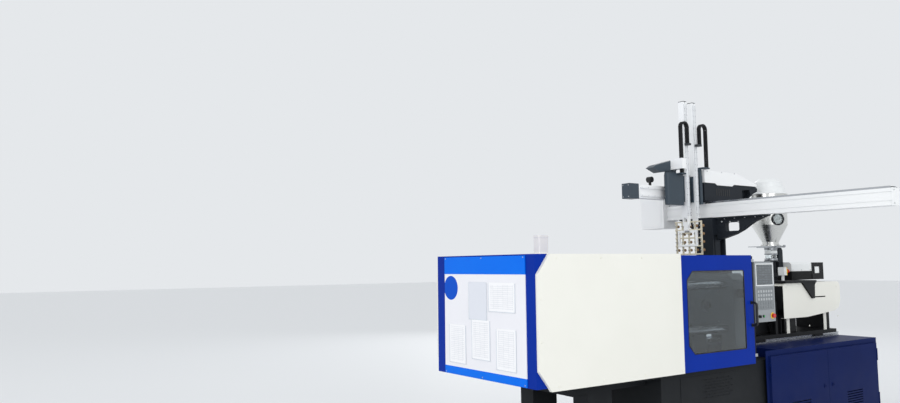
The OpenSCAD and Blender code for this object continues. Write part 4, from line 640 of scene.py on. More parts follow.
class Maker:
    """What every sub-assembly shares: the mesh at work, its way into the scene, and the nodes' dressing."""

    body: str = "machine_bed"
    bm: bmesh.types.BMesh

    @contextmanager
    def piece(self, name: str, look: Look, slot: str, body: str | None = None,
              stands_for: str | None = None) -> Iterator[bpy.types.Object]:
        """Gathers what the with block makes into one piece of the scene.

        Args:
            name: The piece's name.
            look: Its finish.
            slot: The record's material slot. It is not used.
            body: The CAD body that carries it, if not the sub-assembly's own. A blended piece gives "".
            stands_for: The CAD node that it replaces, if any.

        Yields:
            The piece, whose mesh is filled when the block ends.
        """
        mesh = bpy.data.meshes.new(name)
        made = enter(name, mesh)
        bm = self.bm = bmesh.new()
        yield made
        bmesh.ops.remove_doubles(bm, verts=bm.verts, dist=WELD)
        bmesh.ops.recalc_face_normals(bm, faces=bm.faces)
        for face in bm.faces:
            face.smooth = True
        for edge in bm.edges:
            edge.smooth = edge.is_manifold and edge.calc_face_angle(0.0) < SMOOTH_BELOW
        bmesh.ops.translate(bm, verts=bm.verts, vec=ROW_SHIFT)
        bmesh.ops.scale(bm, verts=bm.verts, vec=(MM, MM, MM))
        bm.to_mesh(mesh)
        bm.free()
        mesh.materials.append(look.build())
        carrier = self.body if body is None else body
        if carrier:
            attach(made, carrier)
        if stands_for:
            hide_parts(stands_for)
        LOG.info("%s: %d faces on %s", name, len(mesh.polygons), carrier or "two bodies")

    def dress(self, look: Look, *names: str) -> None:
        """Gives CAD nodes a finish.

        Args:
            look: The finish.
            names: The nodes that take it.
        """
        for name in names:
            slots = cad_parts[name].data.materials
            slots.clear()
            slots.append(look.build())
            LOG.info("%s wears %s", name, look.name)

    def soften(self, edges: Iterable[Edge], radius: float, segments: int = 2) -> list[Vert]:
        """Rounds edges.

        Args:
            edges: The edges.
            radius: The radius that they get.
            segments: Facets across the rounding.

        Returns:
            The vertices of the rounding.
        """
        return bmesh.ops.bevel(self.bm, geom=list(edges), offset=radius, offset_type="OFFSET",
                               affect="EDGES", segments=segments, profile=0.5, material=-1,
                               clamp_overlap=True)["verts"]

    def block(self, low: Point, high: Point, edge: float = 0.0, segments: int = 2) -> list[Vert]:
        """Adds a box between two corners, with its edges rounded.

        Args:
            low: Its lowest corner.
            high: Its highest corner.
            edge: The radius of its edges.
            segments: Facets across a rounded edge.

        Returns:
            The box's vertices.
        """
        centre = (Vector(low) + Vector(high)) / 2
        size = Vector(high) - Vector(low)
        place = Matrix.Translation(centre) @ Matrix.Diagonal((*size, 1.0))
        made = bmesh.ops.create_cube(self.bm, size=1.0, matrix=place)["verts"]
        return self.soften({e for v in made for e in v.link_edges}, edge, segments) if edge else made

    def drum(self, centre: Point, axis: Point, length: float, radius: float, sides: int,
             edge: float) -> list[Vert]:
        """Adds a round bar that starts at a point and runs along an axis.

        Args:
            centre: The middle of its first end.
            axis: Its direction.
            length: Its length.
            radius: Its radius.
            sides: Its facets.
            edge: The radius of its rims, nought where they stay sharp.

        Returns:
            Its vertices.
        """
        way = Vector(axis).normalized()
        turn = UP.rotation_difference(way).to_matrix().to_4x4()
        place = Matrix.Translation(Vector(centre) + way * length / 2) @ turn
        made = bmesh.ops.create_cone(self.bm, cap_ends=True, segments=sides, radius1=radius, radius2=radius,
                                     depth=length, matrix=place)["verts"]
        if not edge:
            return made
        rims = [e for e in {e for v in made for e in v.link_edges}
                if sum(len(f.verts) > 4 for f in e.link_faces) == 1]
        return self.soften(rims, edge)

    def heads(self, places: Iterable[Point], axis: Point, head: Head) -> None:
        """Adds screw heads.

        Args:
            places: Where each head sits.
            axis: The way they point.
            head: Their shape.
        """
        way = Vector(axis).normalized()
        rim = head.height * head.rim_share
        for place in places:
            made = self.drum(place, axis, head.height, head.radius, head.sides, rim)
            if not head.socket:
                continue
            self.bm.normal_update()
            tops = {face for vert in made for face in vert.link_faces
                    if face.normal.dot(way) > ALIGNED and len(face.verts) == head.sides}
            land = head.radius - rim - head.socket
            for face in tops:
                bmesh.ops.inset_region(self.bm, faces=[face], thickness=land, use_even_offset=True)
                bmesh.ops.translate(self.bm, verts=list(face.verts), vec=-way * head.height / 2)

    def loop(self, points: Iterable[Point], closed: bool = True) -> tuple[list[Vert], list[Edge]]:
        """Draws a line from point to point.

        Args:
            points: Its points.
            closed: True where the last point joins the first.

        Returns:
            Its vertices and its edges.
        """
        verts = [self.bm.verts.new(point) for point in points]
        ends = verts[1:] + verts[:1] if closed else verts[1:]
        return verts, [self.bm.edges.new(pair) for pair in zip(verts, ends)]

    def bridge(self, outlines: Iterable[Iterable[Point]]) -> None:
        """Joins closed outlines, each to the next and the last to the first.

        Args:
            outlines: The corners of each outline.
        """
        loops = [self.loop(outline)[1] for outline in outlines]
        for first, second in zip(loops, loops[1:] + loops[:1]):
            bmesh.ops.bridge_loops(self.bm, edges=first + second)

    def spin(self, points: Iterable[Point], centre: Point, axis: Point, steps: int,
             closed: bool = True) -> None:
        """Turns a profile once round an axis.

        Args:
            points: The profile's points.
            centre: A point of the axis.
            axis: Its direction.
            steps: Facets round it.
            closed: True where the profile's last point joins its first.
        """
        verts, edges = self.loop(points, closed)
        bmesh.ops.spin(self.bm, geom=verts + edges, cent=centre, axis=axis, angle=math.tau, steps=steps,
                       use_merge=True)

    def slab(self, corners: list[Point], push: Point) -> None:
        """Adds a flat outline pushed out to a solid.

        Args:
            corners: The outline's corners in order.
            push: How far and which way it is pushed.
        """
        face = self.bm.faces.new([self.bm.verts.new(corner) for corner in corners])
        out = bmesh.ops.extrude_face_region(self.bm, geom=[face])["geom"]
        bmesh.ops.translate(self.bm, verts=[g for g in out if isinstance(g, Vert)], vec=push)


@dataclass
class Guards(Maker):
    """Covers, doors and the board round the clamp unit."""

    door_face: float = 612.0
    window_x: Span = (1661.0, 2455.0)
    window_z: Span = (884.0, 1578.0)
    cut: float = 76.0
    cut_growth: float = 0.4
    corner: float = 14.0
    seal: float = 7.0
    seal_rise: float = 2.4
    seal_shoulder: float = 1.5
    seal_round: float = 1.8
    sheet: float = 3.0
    pane: float = 6.0
    pane_overlap: float = 30.0
    gap: float = 0.3
    cover_face: float = 641.3
    cover_screw_x: tuple[float, ...] = (190.0, 640.0, 1090.0, 1530.0)
    cover_screw_z: Span = (782.0, 1690.0)
    end_screw_x: float = 34.0
    end_screw_z: Span = (1100.0, 1400.0)
    board_face: float = -8.0
    board_screw_y: tuple[float, ...] = (-502.0, 0.0, 486.0)
    board_screw_z: Span = (790.0, 1698.0)
    sleeves: tuple[tuple[float, ...], ...] = (
        (-248, 1405, 306, 214), (324, 1022, 214, 300), (15, 1075, 222, 300), (-295, 1022, 222, 300),
        (50, 1372, 222, 288),
    )
    rim: float = 5.0
    rim_rise: float = 3.0
    rim_out: float = 3.0
    rim_edge: float = 0.8
    open_top: float = 4.0
    lens_x: Span = (559.4, 660.6)
    lens_half: float = 37.6
    lens_z: float = 1742.0
    lens_pitch: float = 13.0
    lens_rib: float = 8.0
    lens_ribs: int = 9
    lens_corner: float = 10.6

    def window_corners(self, y: float, grow: float) -> list[Point]:
        """Works out the window's outline.

        Args:
            y: Its depth.
            grow: How much larger it is than the opening, all round.

        Returns:
            Its eight corners in order.
        """
        x0, x1 = self.window_x[0] - grow, self.window_x[1] + grow
        z0, z1 = self.window_z[0] - grow, self.window_z[1] + grow
        c, r = self.cut + grow * self.cut_growth, self.corner + grow
        return [(x0, y, z0 + c), (x0 + c, y, z0), (x1 - r, y, z0), (x1, y, z0 + r), (x1, y, z1 - r),
                (x1 - r, y, z1), (x0 + c, y, z1), (x0, y, z1 - c)]

    def window(self, side: int, door: str) -> None:
        """Builds one door's pane and the rubber round it.

        Args:
            side: -1 on the operator's side, 1 on the far side.
            door: The door's body, which starts the pieces' names.
        """
        inner = side * (self.door_face - self.sheet - self.gap)
        face = side * (self.door_face + self.seal_rise)
        shoulder = side * (self.door_face + self.seal_shoulder)
        push = (0, -side * self.pane, 0)
        with self.piece(f"{door}_pane", SMOKED_PANE, "window", door, f"{door}_window"):
            self.slab(self.window_corners(inner, self.pane_overlap), push)
        rings = ((inner, -self.gap), (shoulder, -self.gap), (face, -self.seal_round),
                 (face, self.seal_round - self.seal), (shoulder, -self.seal), (inner, -self.seal))
        with self.piece(f"{door}_window_seal", RUBBER, "window", door):
            self.bridge(self.window_corners(y, grow) for y, grow in rings)

    def cover_screws(self) -> None:
        """Adds the screws that hold the side covers and the board."""
        with self.piece("cover_screws", CREAM_COAT, "cream_paint"):
            for side in SIDES:
                y = side * self.cover_face
                rows = [(x, y, z) for x in self.cover_screw_x for z in self.cover_screw_z]
                rows += [(self.end_screw_x, y, z) for z in self.end_screw_z]
                self.heads(rows, side * ACROSS, COVER_SCREW)
        with self.piece("board_screws", ZINC_BRIGHT, "steel"):
            places = [(self.board_face, y, z) for y in self.board_screw_y for z in self.board_screw_z]
            self.heads(places, -ALONG, BOARD_SCREW)

    def sleeve_rims(self) -> None:
        """Adds the welded rims of the board's pockets, which are open at the top."""
        back, front, half = self.board_face, self.board_face - self.rim_rise, self.rim / 2
        with self.piece("sleeve_rims", VINYL, "paper_sleeve"):
            for y, z, wide, high in self.sleeves:
                foot, reach = z - high / 2 - self.rim, wide / 2 + self.rim
                for side in SIDES:
                    edge = y + side * (wide / 2 + self.rim_out)
                    top = (back, edge + half, z + high / 2 - self.open_top)
                    self.block((front, edge - half, foot), top, self.rim_edge)
                self.block((front, y - reach, foot), (back, y + reach, foot + self.rim), self.rim_edge)

    def lamp_lens(self) -> None:
        """Adds the ribs of the signal lamp's opal lens."""
        x0, x1 = self.lens_x
        with self.piece("signal_lamp_ribs", OPAL, "loader_plastic"):
            for i in range(self.lens_ribs):
                z = self.lens_z + i * self.lens_pitch
                made = self.block((x0, -self.lens_half, z), (x1, self.lens_half, z + self.lens_rib))
                upright = [e for e in {e for v in made for e in v.link_edges}
                           if abs(e.verts[0].co.z - e.verts[1].co.z) > 1]
                self.soften(upright, self.lens_corner, 5)

    def build(self) -> None:
        """Dresses the guards and adds panes, seals, screws and rims."""
        self.dress(CREAM_COAT, "side_covers")
        self.dress(ROYAL_COAT, "end_cover", "top_cover", "front_door_frame", "rear_door_frame")
        self.dress(BLACK_NYLON, "front_door_handle", "rear_door_handle")
        self.dress(BoardPrint(), "notice_board")
        self.dress(PrintedSheet(self.sleeves[:4], self.sleeves[4]), "document_sleeves")
        self.dress(DARK_COAT, "guard_frame")
        self.dress(GROUND_STEEL, "door_tracks")
        self.dress(OPAL, "signal_lamp")
        self.window(-1, "front_door")
        self.window(1, "rear_door")
        self.cover_screws()
        self.sleeve_rims()
        self.lamp_lens()


@dataclass
class Bed(Maker):
    """The bed, its feet and panels, and the cabinet under the injection unit."""

    def build(self) -> None:
        """Dresses the bed and the cabinet."""
        self.dress(DARK_COAT, "base_frame", "vent_panels")
        self.dress(RUBBER, "levelling_feet")
        # The cabinet's darker blue is painted shade over the machine's royal blue.
        self.dress(SHADED_ROYAL_COAT, "cabinet_shell", "cabinet_door_left", "cabinet_door_right")
        self.dress(ZINC_PLATE, "drive_rack")
        self.dress(GROUND_STEEL, "slide_rails")


@dataclass
class ClampUnit(Maker):
    """Platens, tie bars, ram and ejector."""

    nuts: tuple[Zone, ...] = (
        Zone((440.0, -290.0, 940.0), (519.9, 290.0, 1520.0), BLACK_OXIDE),
        Zone((2920.1, -290.0, 940.0), (3000.0, 290.0, 1520.0), BLACK_OXIDE),
    )
    spacer: Zone = Zone((1570.0, -160.0, 1070.0), (1765.0, 160.0, 1390.0), CAST_ENAMEL)

    def build(self) -> None:
        """Dresses the clamp unit."""
        self.dress(CAST_ENAMEL, "cylinder_platen", "clamp_cylinder", "fixed_platen", "moving_platen")
        self.dress(GROUND_STEEL.over("ground_steel_with_black_nuts", *self.nuts), "tie_bars")
        self.dress(GROUND_STEEL, "ejector")
        self.dress(GROUND_STEEL.over("ground_steel_with_cast_spacer", self.spacer), "clamp_ram")


@dataclass
class InjectionUnit(Maker):
    """Barrel, carriage, cover, motor and hopper.

    A size of a round part is its length and its radius, and a margin is one along and one up.
    """

    body: str = "injection_carriage"
    stand_x: float = 3850.0
    sight_z: Span = (1660.0, 1795.7)
    sight_play: float = 0.2
    tube_radii: Span = (54.0, 59.0)
    collar_radii: Span = (59.2, 63.5)
    collar_rise: Span = (7.0, 38.0)
    ring_radii: Span = (59.2, 66.0)
    end_ring: float = 24.0
    ring_cut: float = 2.0
    port_z: float = 2092.0
    port_turn: float = 239.5
    port_profile: tuple[Span, ...] = (
        (50.0, 150.0), (50.0, 190.0), (53.0, 193.0), (63.0, 193.0), (66.0, 190.0), (66.0, 150.0),
    )
    port_screws: Span = (58.0, 193.0)
    glass_reach: float = 178.0
    glass_size: Span = (5.0, 50.5)
    flange_z: float = 1822.9
    flange_radius: float = 94.0
    clamp_reach: float = 179.0
    clamp_z: float = 2332.0
    clamp_turns: tuple[float, ...] = (150.0, 330.0, 60.0)
    clamp_plate: Box = ((0.0, -14.0, -46.0), (5.0, 14.0, 20.0))
    clamp_lever: Box = ((4.0, -9.0, -20.0), (13.0, 9.0, 42.0))
    clamp_pin: Point = (8.5, -13.0, -16.0)
    clamp_pin_size: Span = (26.0, 4.0)
    motor_x: tuple[float, float, float] = (4010.0, 4392.0, 4628.0)
    motor_y: Span = (-128.0, 62.0)
    motor_z: tuple[float, float, float] = (1452.0, 1545.0, 1640.0)
    ribs: int = 9
    rib: float = 3.6
    rib_pitch: float = 9.0
    rib_depth: float = 5.0
    rib_margin: Span = (14.0, 10.0)
    terminal_lid: Box = ((4396.0, -134.0, 1460.0), (4432.0, -129.0, 1512.0))
    seam_margin: Span = (24.0, 12.0)
    plate_y: float = -135.0
    plate_x: Span = (4454.0, 4524.0)
    plate_z: Span = (1528.0, 1582.0)
    grille_radii: tuple[float, ...] = (18.0, 36.0, 54.0, 72.0)
    grille_rise: float = 3.0
    grille_arm: float = 78.0
    arm_rise: float = 0.4
    wire: float = 1.8
    cover_face: float = 300.0
    cover_places: tuple[Span, ...] = (
        (3600.0, 1000.0), (3600.0, 1390.0), (4000.0, 985.0), (4560.0, 1060.0), (4560.0, 1380.0),
    )
    guide_rods: Zone = Zone((2990.0, -232.0, 1211.0), (3489.0, 232.0, 1249.0), GROUND_STEEL)
    seat: Zone = Zone((3700.0, -110.0, 1795.9), (4000.0, 110.0, 1816.0), GROUND_STEEL)
    inlet: Zone = Zone((3956.0, -40.0, 2420.0), (4120.0, 40.0, 2500.0), STAINLESS)
    # The drive's lid and its plug, then the body and the two ports of the valve beside it.
    drive: tuple[Zone, ...] = (
        Zone((4009.0, -129.0, 1545.0), (4392.0, 63.0, 1641.0), SILVER_COAT),
        Zone((4446.0, -136.0, 1520.0), (4533.0, -129.9, 1590.0), SILVER_COAT),
        Zone((3763.0, -200.0, 1452.1), (3808.0, -120.0, 1592.0), WHITE_RESIN),
        Zone((3808.0, -200.0, 1500.0), (3836.1, -120.0, 1592.0), YELLOW_RESIN),
        Zone((3836.1, -200.0, 1500.0), (3890.0, -120.0, 1592.0), RED_RESIN),
    )

    def pipe(self, low: float, high: float, inner: float, outer: float, cut: float = 0.8) -> None:
        """Spins an upright pipe about the hopper's axis.

        Args:
            low: The height of its lower end.
            high: The height of its upper end.
            inner: Its inner radius.
            outer: Its outer radius.
            cut: The cut of its rims.
        """
        lower = [(inner, low + cut), (inner + cut, low), (outer - cut, low), (outer, low + cut)]
        upper = [(radius, low + high - z) for radius, z in reversed(lower)]
        points = [(self.stand_x + radius, 0, z) for radius, z in lower + upper]
        self.spin(points, (self.stand_x, 0, 0), UP, 64)

    def sight_glass(self) -> None:
        """Builds the clear tube under the hopper with its collar and three bright rings."""
        low, high = self.sight_z
        middle = (low + high) / 2
        joint, collar_top = self.collar_rise
        with self.piece("sight_glass_tube", CLEAR_TUBE, "clear_cylinder", stands_for="sight_glass"):
            self.pipe(low + self.sight_play, high - self.sight_play, *self.tube_radii)
        with self.piece("sight_glass_collar", WHITE_RESIN, "loader_plastic"):
            self.pipe(middle + joint, middle + collar_top, *self.collar_radii)
        with self.piece("sight_glass_rings", TURNED_STEEL, "steel"):
            feet = (low, middle - joint, high - self.end_ring)
            tops = (low + self.end_ring, middle + joint, high)
            for foot, top in zip(feet, tops):
                self.pipe(foot, top, *self.ring_radii, self.ring_cut)

    def lid_clamp(self, degrees: float) -> None:
        """Adds one over-centre clamp of the hopper's lid.

        Args:
            degrees: Its turn about the hopper's axis.
        """
        turn = math.radians(degrees)
        out = Vector((math.cos(turn), math.sin(turn), 0))
        base = Vector((self.stand_x, 0, self.clamp_z)) + out * self.clamp_reach
        made = self.block(*self.clamp_plate, 1.5) + self.block(*self.clamp_lever, 2.5)
        made += self.drum(self.clamp_pin, ACROSS, *self.clamp_pin_size, 16, 0.8)
        place = Matrix.Translation(base) @ Matrix.Rotation(turn, 4, "Z")
        bmesh.ops.transform(self.bm, matrix=place, verts=made)

    def hopper_trim(self) -> None:
        """Adds the hopper's round port, its screws and the lid's clamps."""
        turn = math.radians(self.port_turn)
        way = Vector((math.cos(turn), math.sin(turn), 0))
        beside = Vector((-way.y, way.x, 0))
        middle = Vector((self.stand_x, 0, self.port_z))
        flange = Vector((self.stand_x, 0, self.flange_z))
        with self.piece("hopper_port_ring", BLACK_OXIDE, "steel"):
            ring = [middle + way * reach + UP * radius for radius, reach in self.port_profile]
            self.spin(ring, middle, way, 48)
        with self.piece("hopper_port_glass", PORT_GLASS, "window"):
            self.drum(middle + way * self.glass_reach, way, *self.glass_size, 48, 0.6)
        with self.piece("hopper_screws", ZINC_BRIGHT, "steel"):
            self.heads(circle(flange, ALONG, ACROSS, self.flange_radius, 6, 30.0), UP, FLANGE_BOLT)
            radius, reach = self.port_screws
            self.heads(circle(middle + way * reach, beside, UP, radius, 8, 22.5), way, PORT_SCREW)
        with self.piece("hopper_lid_clamps", ZINC_BRIGHT, "steel"):
            for degrees in self.clamp_turns:
                self.lid_clamp(degrees)

    def drive_trim(self) -> None:
        """Adds the drive's ribs, its screws and the fan's grille."""
        x0, x1, x2 = self.motor_x
        y0, y1 = self.motor_y
        z0, z1, z2 = self.motor_z
        with self.piece("drive_cooling_ribs", BLACK_COAT, "black_paint"):
            for i in range(self.ribs):
                z = z0 + self.rib_margin[1] + i * self.rib_pitch
                for low, high in ((y0 - self.rib_depth, y0), (y1, y1 + self.rib_depth)):
                    foot = (x0 + self.rib_margin[0], low, z)
                    self.block(foot, (x1 - self.rib_margin[0], high, z + self.rib), 1.0, 1)
            self.block(*self.terminal_lid, 1.6)
        with self.piece("drive_screws", ZINC_BRIGHT, "steel"):
            margin, rise = self.seam_margin
            for side, y in zip(SIDES, self.motor_y):
                seam = [(x, y, z1 + rise) for x in (x0 + margin, (x0 + x1) / 2, x1 - margin)]
                self.heads(seam, side * ACROSS, CAP_SCREW)
            plate = [(x, self.plate_y, z) for x in self.plate_x for z in self.plate_z]
            self.heads(plate, -ACROSS, FAN_SCREW)
        with self.piece("drive_fan_grille", ZINC_BRIGHT, "steel"):
            hub = Vector((x2 + self.grille_rise, (y0 + y1) / 2, (z0 + z2) / 2))
            for radius in self.grille_radii:
                section = circle(hub + ACROSS * radius, ACROSS, ALONG, self.wire, 6)
                self.spin(section, hub, ALONG, 36)
            ends = circle(hub + ALONG * self.arm_rise, ACROSS, UP, self.grille_arm, 8)
            for first, second in zip(ends[4:], ends):
                self.drum(first, second - first, 2 * self.grille_arm, self.wire, 6, 0.0)

    def build(self) -> None:
        """Dresses the injection unit and adds its trim."""
        self.dress(CREAM_COAT, "injection_cover")
        guided = BLACK_COAT.over("textured_coat_black_with_bright_guides", self.guide_rods)
        self.dress(guided, "carriage_base")
        self.dress(BLACK_COAT, "barrel_guard", "purge_guard")
        self.dress(POST_COAT.over("textured_coat_graphite_with_steel_seat", self.seat), "hopper_stand")
        self.dress(BLACK_COAT.over("textured_coat_black_drive", *self.drive), "screw_motor")
        self.dress(CAST_ENAMEL, "carriage_cylinders", "thrust_plate")
        self.dress(TURNED_STEEL, "barrel", "screw")
        self.dress(GROUND_STEEL, "hopper_gate")
        self.dress(HEATER_STEEL, "heater_bands")
        self.dress(STAINLESS, "hopper")
        self.dress(WHITE_RESIN.over("moulded_white_polypropylene_with_inlet", self.inlet), "hopper_loader")
        self.sight_glass()
        self.hopper_trim()
        self.drive_trim()
        with self.piece("injection_cover_screws", CREAM_COAT, "cream_paint"):
            for side in SIDES:
                places = [(x, side * self.cover_face, z) for x, z in self.cover_places]
                self.heads(places, side * ACROSS, COVER_SCREW)


@dataclass
class OperatorPanel(Maker):
    """Control panel with its display, keys and stop button."""

    x: Span = (2684.0, 2984.0)
    z: Span = (1098.0, 1646.0)
    face: float = -566.0
    frame_edge: float = 14.0
    frame_height: float = 206.0
    # Each ring of the frame is given by its place off the panel's face and how far it is drawn in.
    frame_rings: tuple[Span, ...] = ((-0.1, 0.0), (-3.0, 0.0), (-3.0, 10.0), (0.6, 10.0))
    key: Span = (26.0, 22.0)
    key_pitch: Span = (40.0, 36.0)
    key_foot: Span = (35.0, 123.0)
    key_y: Span = (-1.6, 1.2)
    key_edge: float = 1.4
    key_columns: int = 6
    key_rows: tuple[range, range] = (range(2, 5), range(2))
    stop: Span = (2938.0, 1150.0)
    collar_profile: tuple[Span, ...] = (
        (12.5, 0.0), (12.5, 2.0), (13.5, 2.4), (28.5, 2.4), (30.0, 1.4), (30.0, 0.0),
    )
    # Each round part of the switch and of the lamp is given by its length and its radius.
    switch_x: float = 2732.0
    switch_base: Span = (6.0, 15.0)
    switch_knob: Span = (12.0, 11.0)
    grip: Box = ((-2.5, -22.0, -12.0), (2.5, -16.0, 12.0))
    lamp_x: float = 2794.0
    lamp_base: Span = (6.0, 13.0)
    lamp_dome: Span = (7.0, 9.5)
    seat: float = 5.0
    arm: Zone = Zone((2775.0, -476.0, 1310.0), (2845.0, -300.0, 1400.0), DARK_COAT)
    film: Zone = Zone((2706.0, -567.0, 1207.0), (2962.0, -563.0, 1411.0), MID_FILM)

    def keys(self, name: str, look: Look, rows: range) -> None:
        """Builds rows of domed membrane keys.

        Args:
            name: The piece's name.
            look: The keys' finish.
            rows: Which rows they are, from the lowest.
        """
        with self.piece(name, look, "panel_grey"):
            for column in range(self.key_columns):
                for row in rows:
                    x = self.x[0] + self.key_foot[0] + column * self.key_pitch[0]
                    z = self.z[0] + self.key_foot[1] + row * self.key_pitch[1]
                    low, high = (self.face + y for y in self.key_y)
                    self.block((x, low, z), (x + self.key[0], high, z + self.key[1]), self.key_edge, 3)

    def frame(self, y: float, inset: float) -> list[Point]:
        """Works out an outline of the display's frame.

        Args:
            y: Its depth.
            inset: How far it is drawn in from the frame's outside.

        Returns:
            Its four corners in order.
        """
        x0, x1 = self.x[0] + self.frame_edge + inset, self.x[1] - self.frame_edge - inset
        z1 = self.z[1] - self.frame_edge - inset
        z0 = self.z[1] - self.frame_edge - self.frame_height + inset
        return [(x0, y, z0), (x1, y, z0), (x1, y, z1), (x0, y, z1)]

    def trim(self) -> None:
        """Adds the display's frame, the stop button's yellow collar, the switch and the lamp."""
        x, z = self.stop
        face = self.face
        with self.piece("display_bezel", SILVER_COAT, "panel_grey"):
            self.bridge(self.frame(face + y, inset) for y, inset in self.frame_rings)
        with self.piece("stop_button_collar", YELLOW_RESIN, "panel_grey"):
            self.spin([(x + r, face - h, z) for r, h in self.collar_profile], (x, 0, z), ACROSS, 40)
        with self.piece("mode_switch", BLACK_NYLON, "panel_grey"):
            x = self.switch_x
            self.drum((x, face, z), -ACROSS, *self.switch_base, 32, 1.2)
            self.drum((x, face - self.seat, z), -ACROSS, *self.switch_knob, 32, 1.6)
            self.block(*moved(self.grip, x, face, z), 1.2)
            self.drum((self.lamp_x, face, z), -ACROSS, *self.lamp_base, 32, 1.2)
        with self.piece("ready_lamp", GREEN_RESIN, "panel_grey"):
            self.drum((self.lamp_x, face - self.seat, z), -ACROSS, *self.lamp_dome, 32, 3.0)

    def build(self) -> None:
        """Dresses the panel and adds keys, frame and buttons."""
        self.dress(GREY_COAT.over("textured_coat_light_grey_panel", self.arm, self.film), "operator_panel")
        self.dress(ScreenGlass(), "panel_screen")
        self.dress(RED_RESIN, "emergency_stop")
        upper, lower = self.key_rows
        self.keys("panel_keys_pale", PALE_KEY, upper)
        self.keys("panel_keys_grey", MID_FILM, lower)
        self.trim()


@dataclass(frozen=True)
class Unit:
    """One arm with its slide block: its name, the arm's middle, and its chain's foot and way of bending."""

    name: str
    x: float
    chain_x: float
    shelf_z: float
    bend: int


@dataclass
class TakeOutRobot(Maker):
    """Post, beam, carriage, kick beam and the two arms with their chains.

    A nut, collet, hose or screw is given by its length and its radius. The rows rail_screw_z, track_y
    and guide_x are given by their first place and their pitch.
    """

    main: Unit = Unit("main", 2478.0, 2366.0, 2503.3, 1)
    sub: Unit = Unit("sub", 2612.0, 2742.0, 2576.3, -1)
    arm_half: Span = (24.0, 30.0)
    arm_z: Span = (2080.0, 3210.0)
    rail_out: float = 16.0
    rail_half: float = 4.5
    rail_rise: float = 5.2
    rail_ends: Span = (14.0, 24.0)
    rail_sink: float = 0.2
    rail_screws: int = 18
    rail_screw_z: Span = (40.0, 60.0)
    cap_inset: float = 0.4
    cap_rise: float = 6.0
    wrist_z: float = 2020.0
    valves: int = 3
    valve_pitch: float = 27.0
    valve_foot: float = 14.0
    valve_base: Box = ((23.8, -22.0, 8.0), (36.0, 22.0, 98.0))
    valve: Box = ((35.5, -18.0, 0.0), (48.0, 18.0, 22.0))
    fitting_y: Span = (-9.0, 9.0)
    fitting_z: float = 11.0
    nut_x: float = 47.5
    collet_x: float = 53.0
    nut: Span = (6.0, 5.0)
    collet: Span = (6.0, 5.6)
    grid_out: float = 22.0
    grid_half: float = 152.0
    grid_z: Span = (-300.0, 26.0)
    bars: int = 5
    bar_half: Span = (8.0, 7.0)
    column_deep: float = 12.0
    row_x: Span = (-9.0, 0.2)
    hanger: Box = ((-20.0, -30.0, -100.0), (-8.0, 30.0, -66.0))
    cup_x: float = 11.6
    cup_nut: Span = (7.0, 6.5)
    cup_hose: Span = (8.0, 4.5)
    hose_x: float = -6.5
    bar_screw: Span = (3.0, 5.0)
    bar_screw_x: float = 11.8
    cup_profile: tuple[Span, ...] = (
        (0.0, 0.0), (6.0, 0.0), (6.0, 6.0), (10.0, 8.0), (12.5, 11.0), (9.0, 14.0),
        (12.8, 17.0), (9.4, 20.0), (14.0, 25.0), (13.0, 25.4), (7.0, 21.0), (0.0, 20.0),
    )
    beam_end: float = -1765.0
    beam_end_x: Span = (2786.0, 2884.0)
    beam_end_z: Span = (2101.0, 2209.0)
    beam_bolts: tuple[float, ...] = (-190.0, -300.0, -410.0, -520.0, -600.0)
    beam_bolt_at: Span = (2804.0, 2071.0)
    bracket_bolts: tuple[float, ...] = (-160.0, -250.0, -340.0)
    bracket_bolt_at: Span = (2805.0, 2048.0)
    bracket_slope: float = 0.05
    track_x: Span = (2790.0, 2880.0)
    track_z: float = 2243.0
    track_y: Span = (-1700.0, 120.0)
    track_screws: int = 18
    stop: Box = ((2818.0, -14.0, 2225.0), (2852.0, 14.0, 2240.5))
    stop_y: Span = (-1725.0, 436.0)
    lid_screws: tuple[float, ...] = (2760.0, 2990.0, 3200.0)
    lid_screw_at: Span = (-46.0, 2545.0)
    vent: Box = ((2900.0, -42.0, 2310.0), (2914.0, -39.6, 2380.0))
    vents: int = 7
    vent_pitch: float = 34.0
    kick_cap_x: float = 1801.0
    kick_cap_y: Span = (112.0, 178.0)
    kick_cap_z: Span = (2266.0, 2374.0)
    guide_x: Span = (1960.0, 90.0)
    guide_y: float = 88.0
    guide_z: Span = (2283.0, 2357.0)
    guide_screws: int = 8
    chain_width: float = 38.0
    chain_y: float = -74.0
    chain_radius: float = 48.0
    chain_thick: float = 18.0
    chain_top: float = 2948.0
    chain_drop: float = 150.0
    chain_link: float = 24.0
    chain_turns: int = 3
    # A link's side plates reach past its middle, down and up, by shares of the pitch, and its bars by one.
    plate: float = 5.0
    plate_reach: Span = (0.62, 0.5)
    bar: float = 2.2
    bar_inset: float = 4.0
    bar_reach: float = 0.44
    duct: Zone = Zone((2335.0, -83.0, 2542.0), (2399.0, 52.0, 2644.0), WHITE_COAT)
    tracks: tuple[Zone, ...] = (
        Zone((2779.5, -1800.0, 2225.1), (2800.5, 480.0, 2244.0), GROUND_STEEL),
        Zone((2869.5, -1800.0, 2225.1), (2890.5, 480.0, 2244.0), GROUND_STEEL),
        Zone((2824.5, -1800.0, 2225.1), (2845.5, 480.0, 2244.0), BLACK_OXIDE),
    )
    # The kick beam's end cap, the rollers on it and its guides.
    kick: tuple[Zone, ...] = (
        Zone((1790.0, 60.0, 2230.0), (1925.0, 230.0, 2420.0), SLATE_COAT),
        Zone((1926.0, 101.0, 2383.1), (2200.0, 189.0, 2500.0), BLACK_NYLON),
        Zone((1930.0, 80.0, 2240.0), (2720.0, 99.9, 2400.0), PROFILE_Z),
    )
    # The arms' caps and the brackets of their chains.
    arms: tuple[Zone, ...] = (
        Zone((2300.0, -80.0, 3209.9), (2800.0, 40.0, 3220.0), POST_COAT),
        Zone((2300.0, -80.0, 2770.0), (2800.0, -30.1, 2800.0), POST_COAT),
    )
    cups: Zone = Zone((2498.3, -130.0, 1780.0), (2558.0, 130.0, 2020.0), RUBBER)

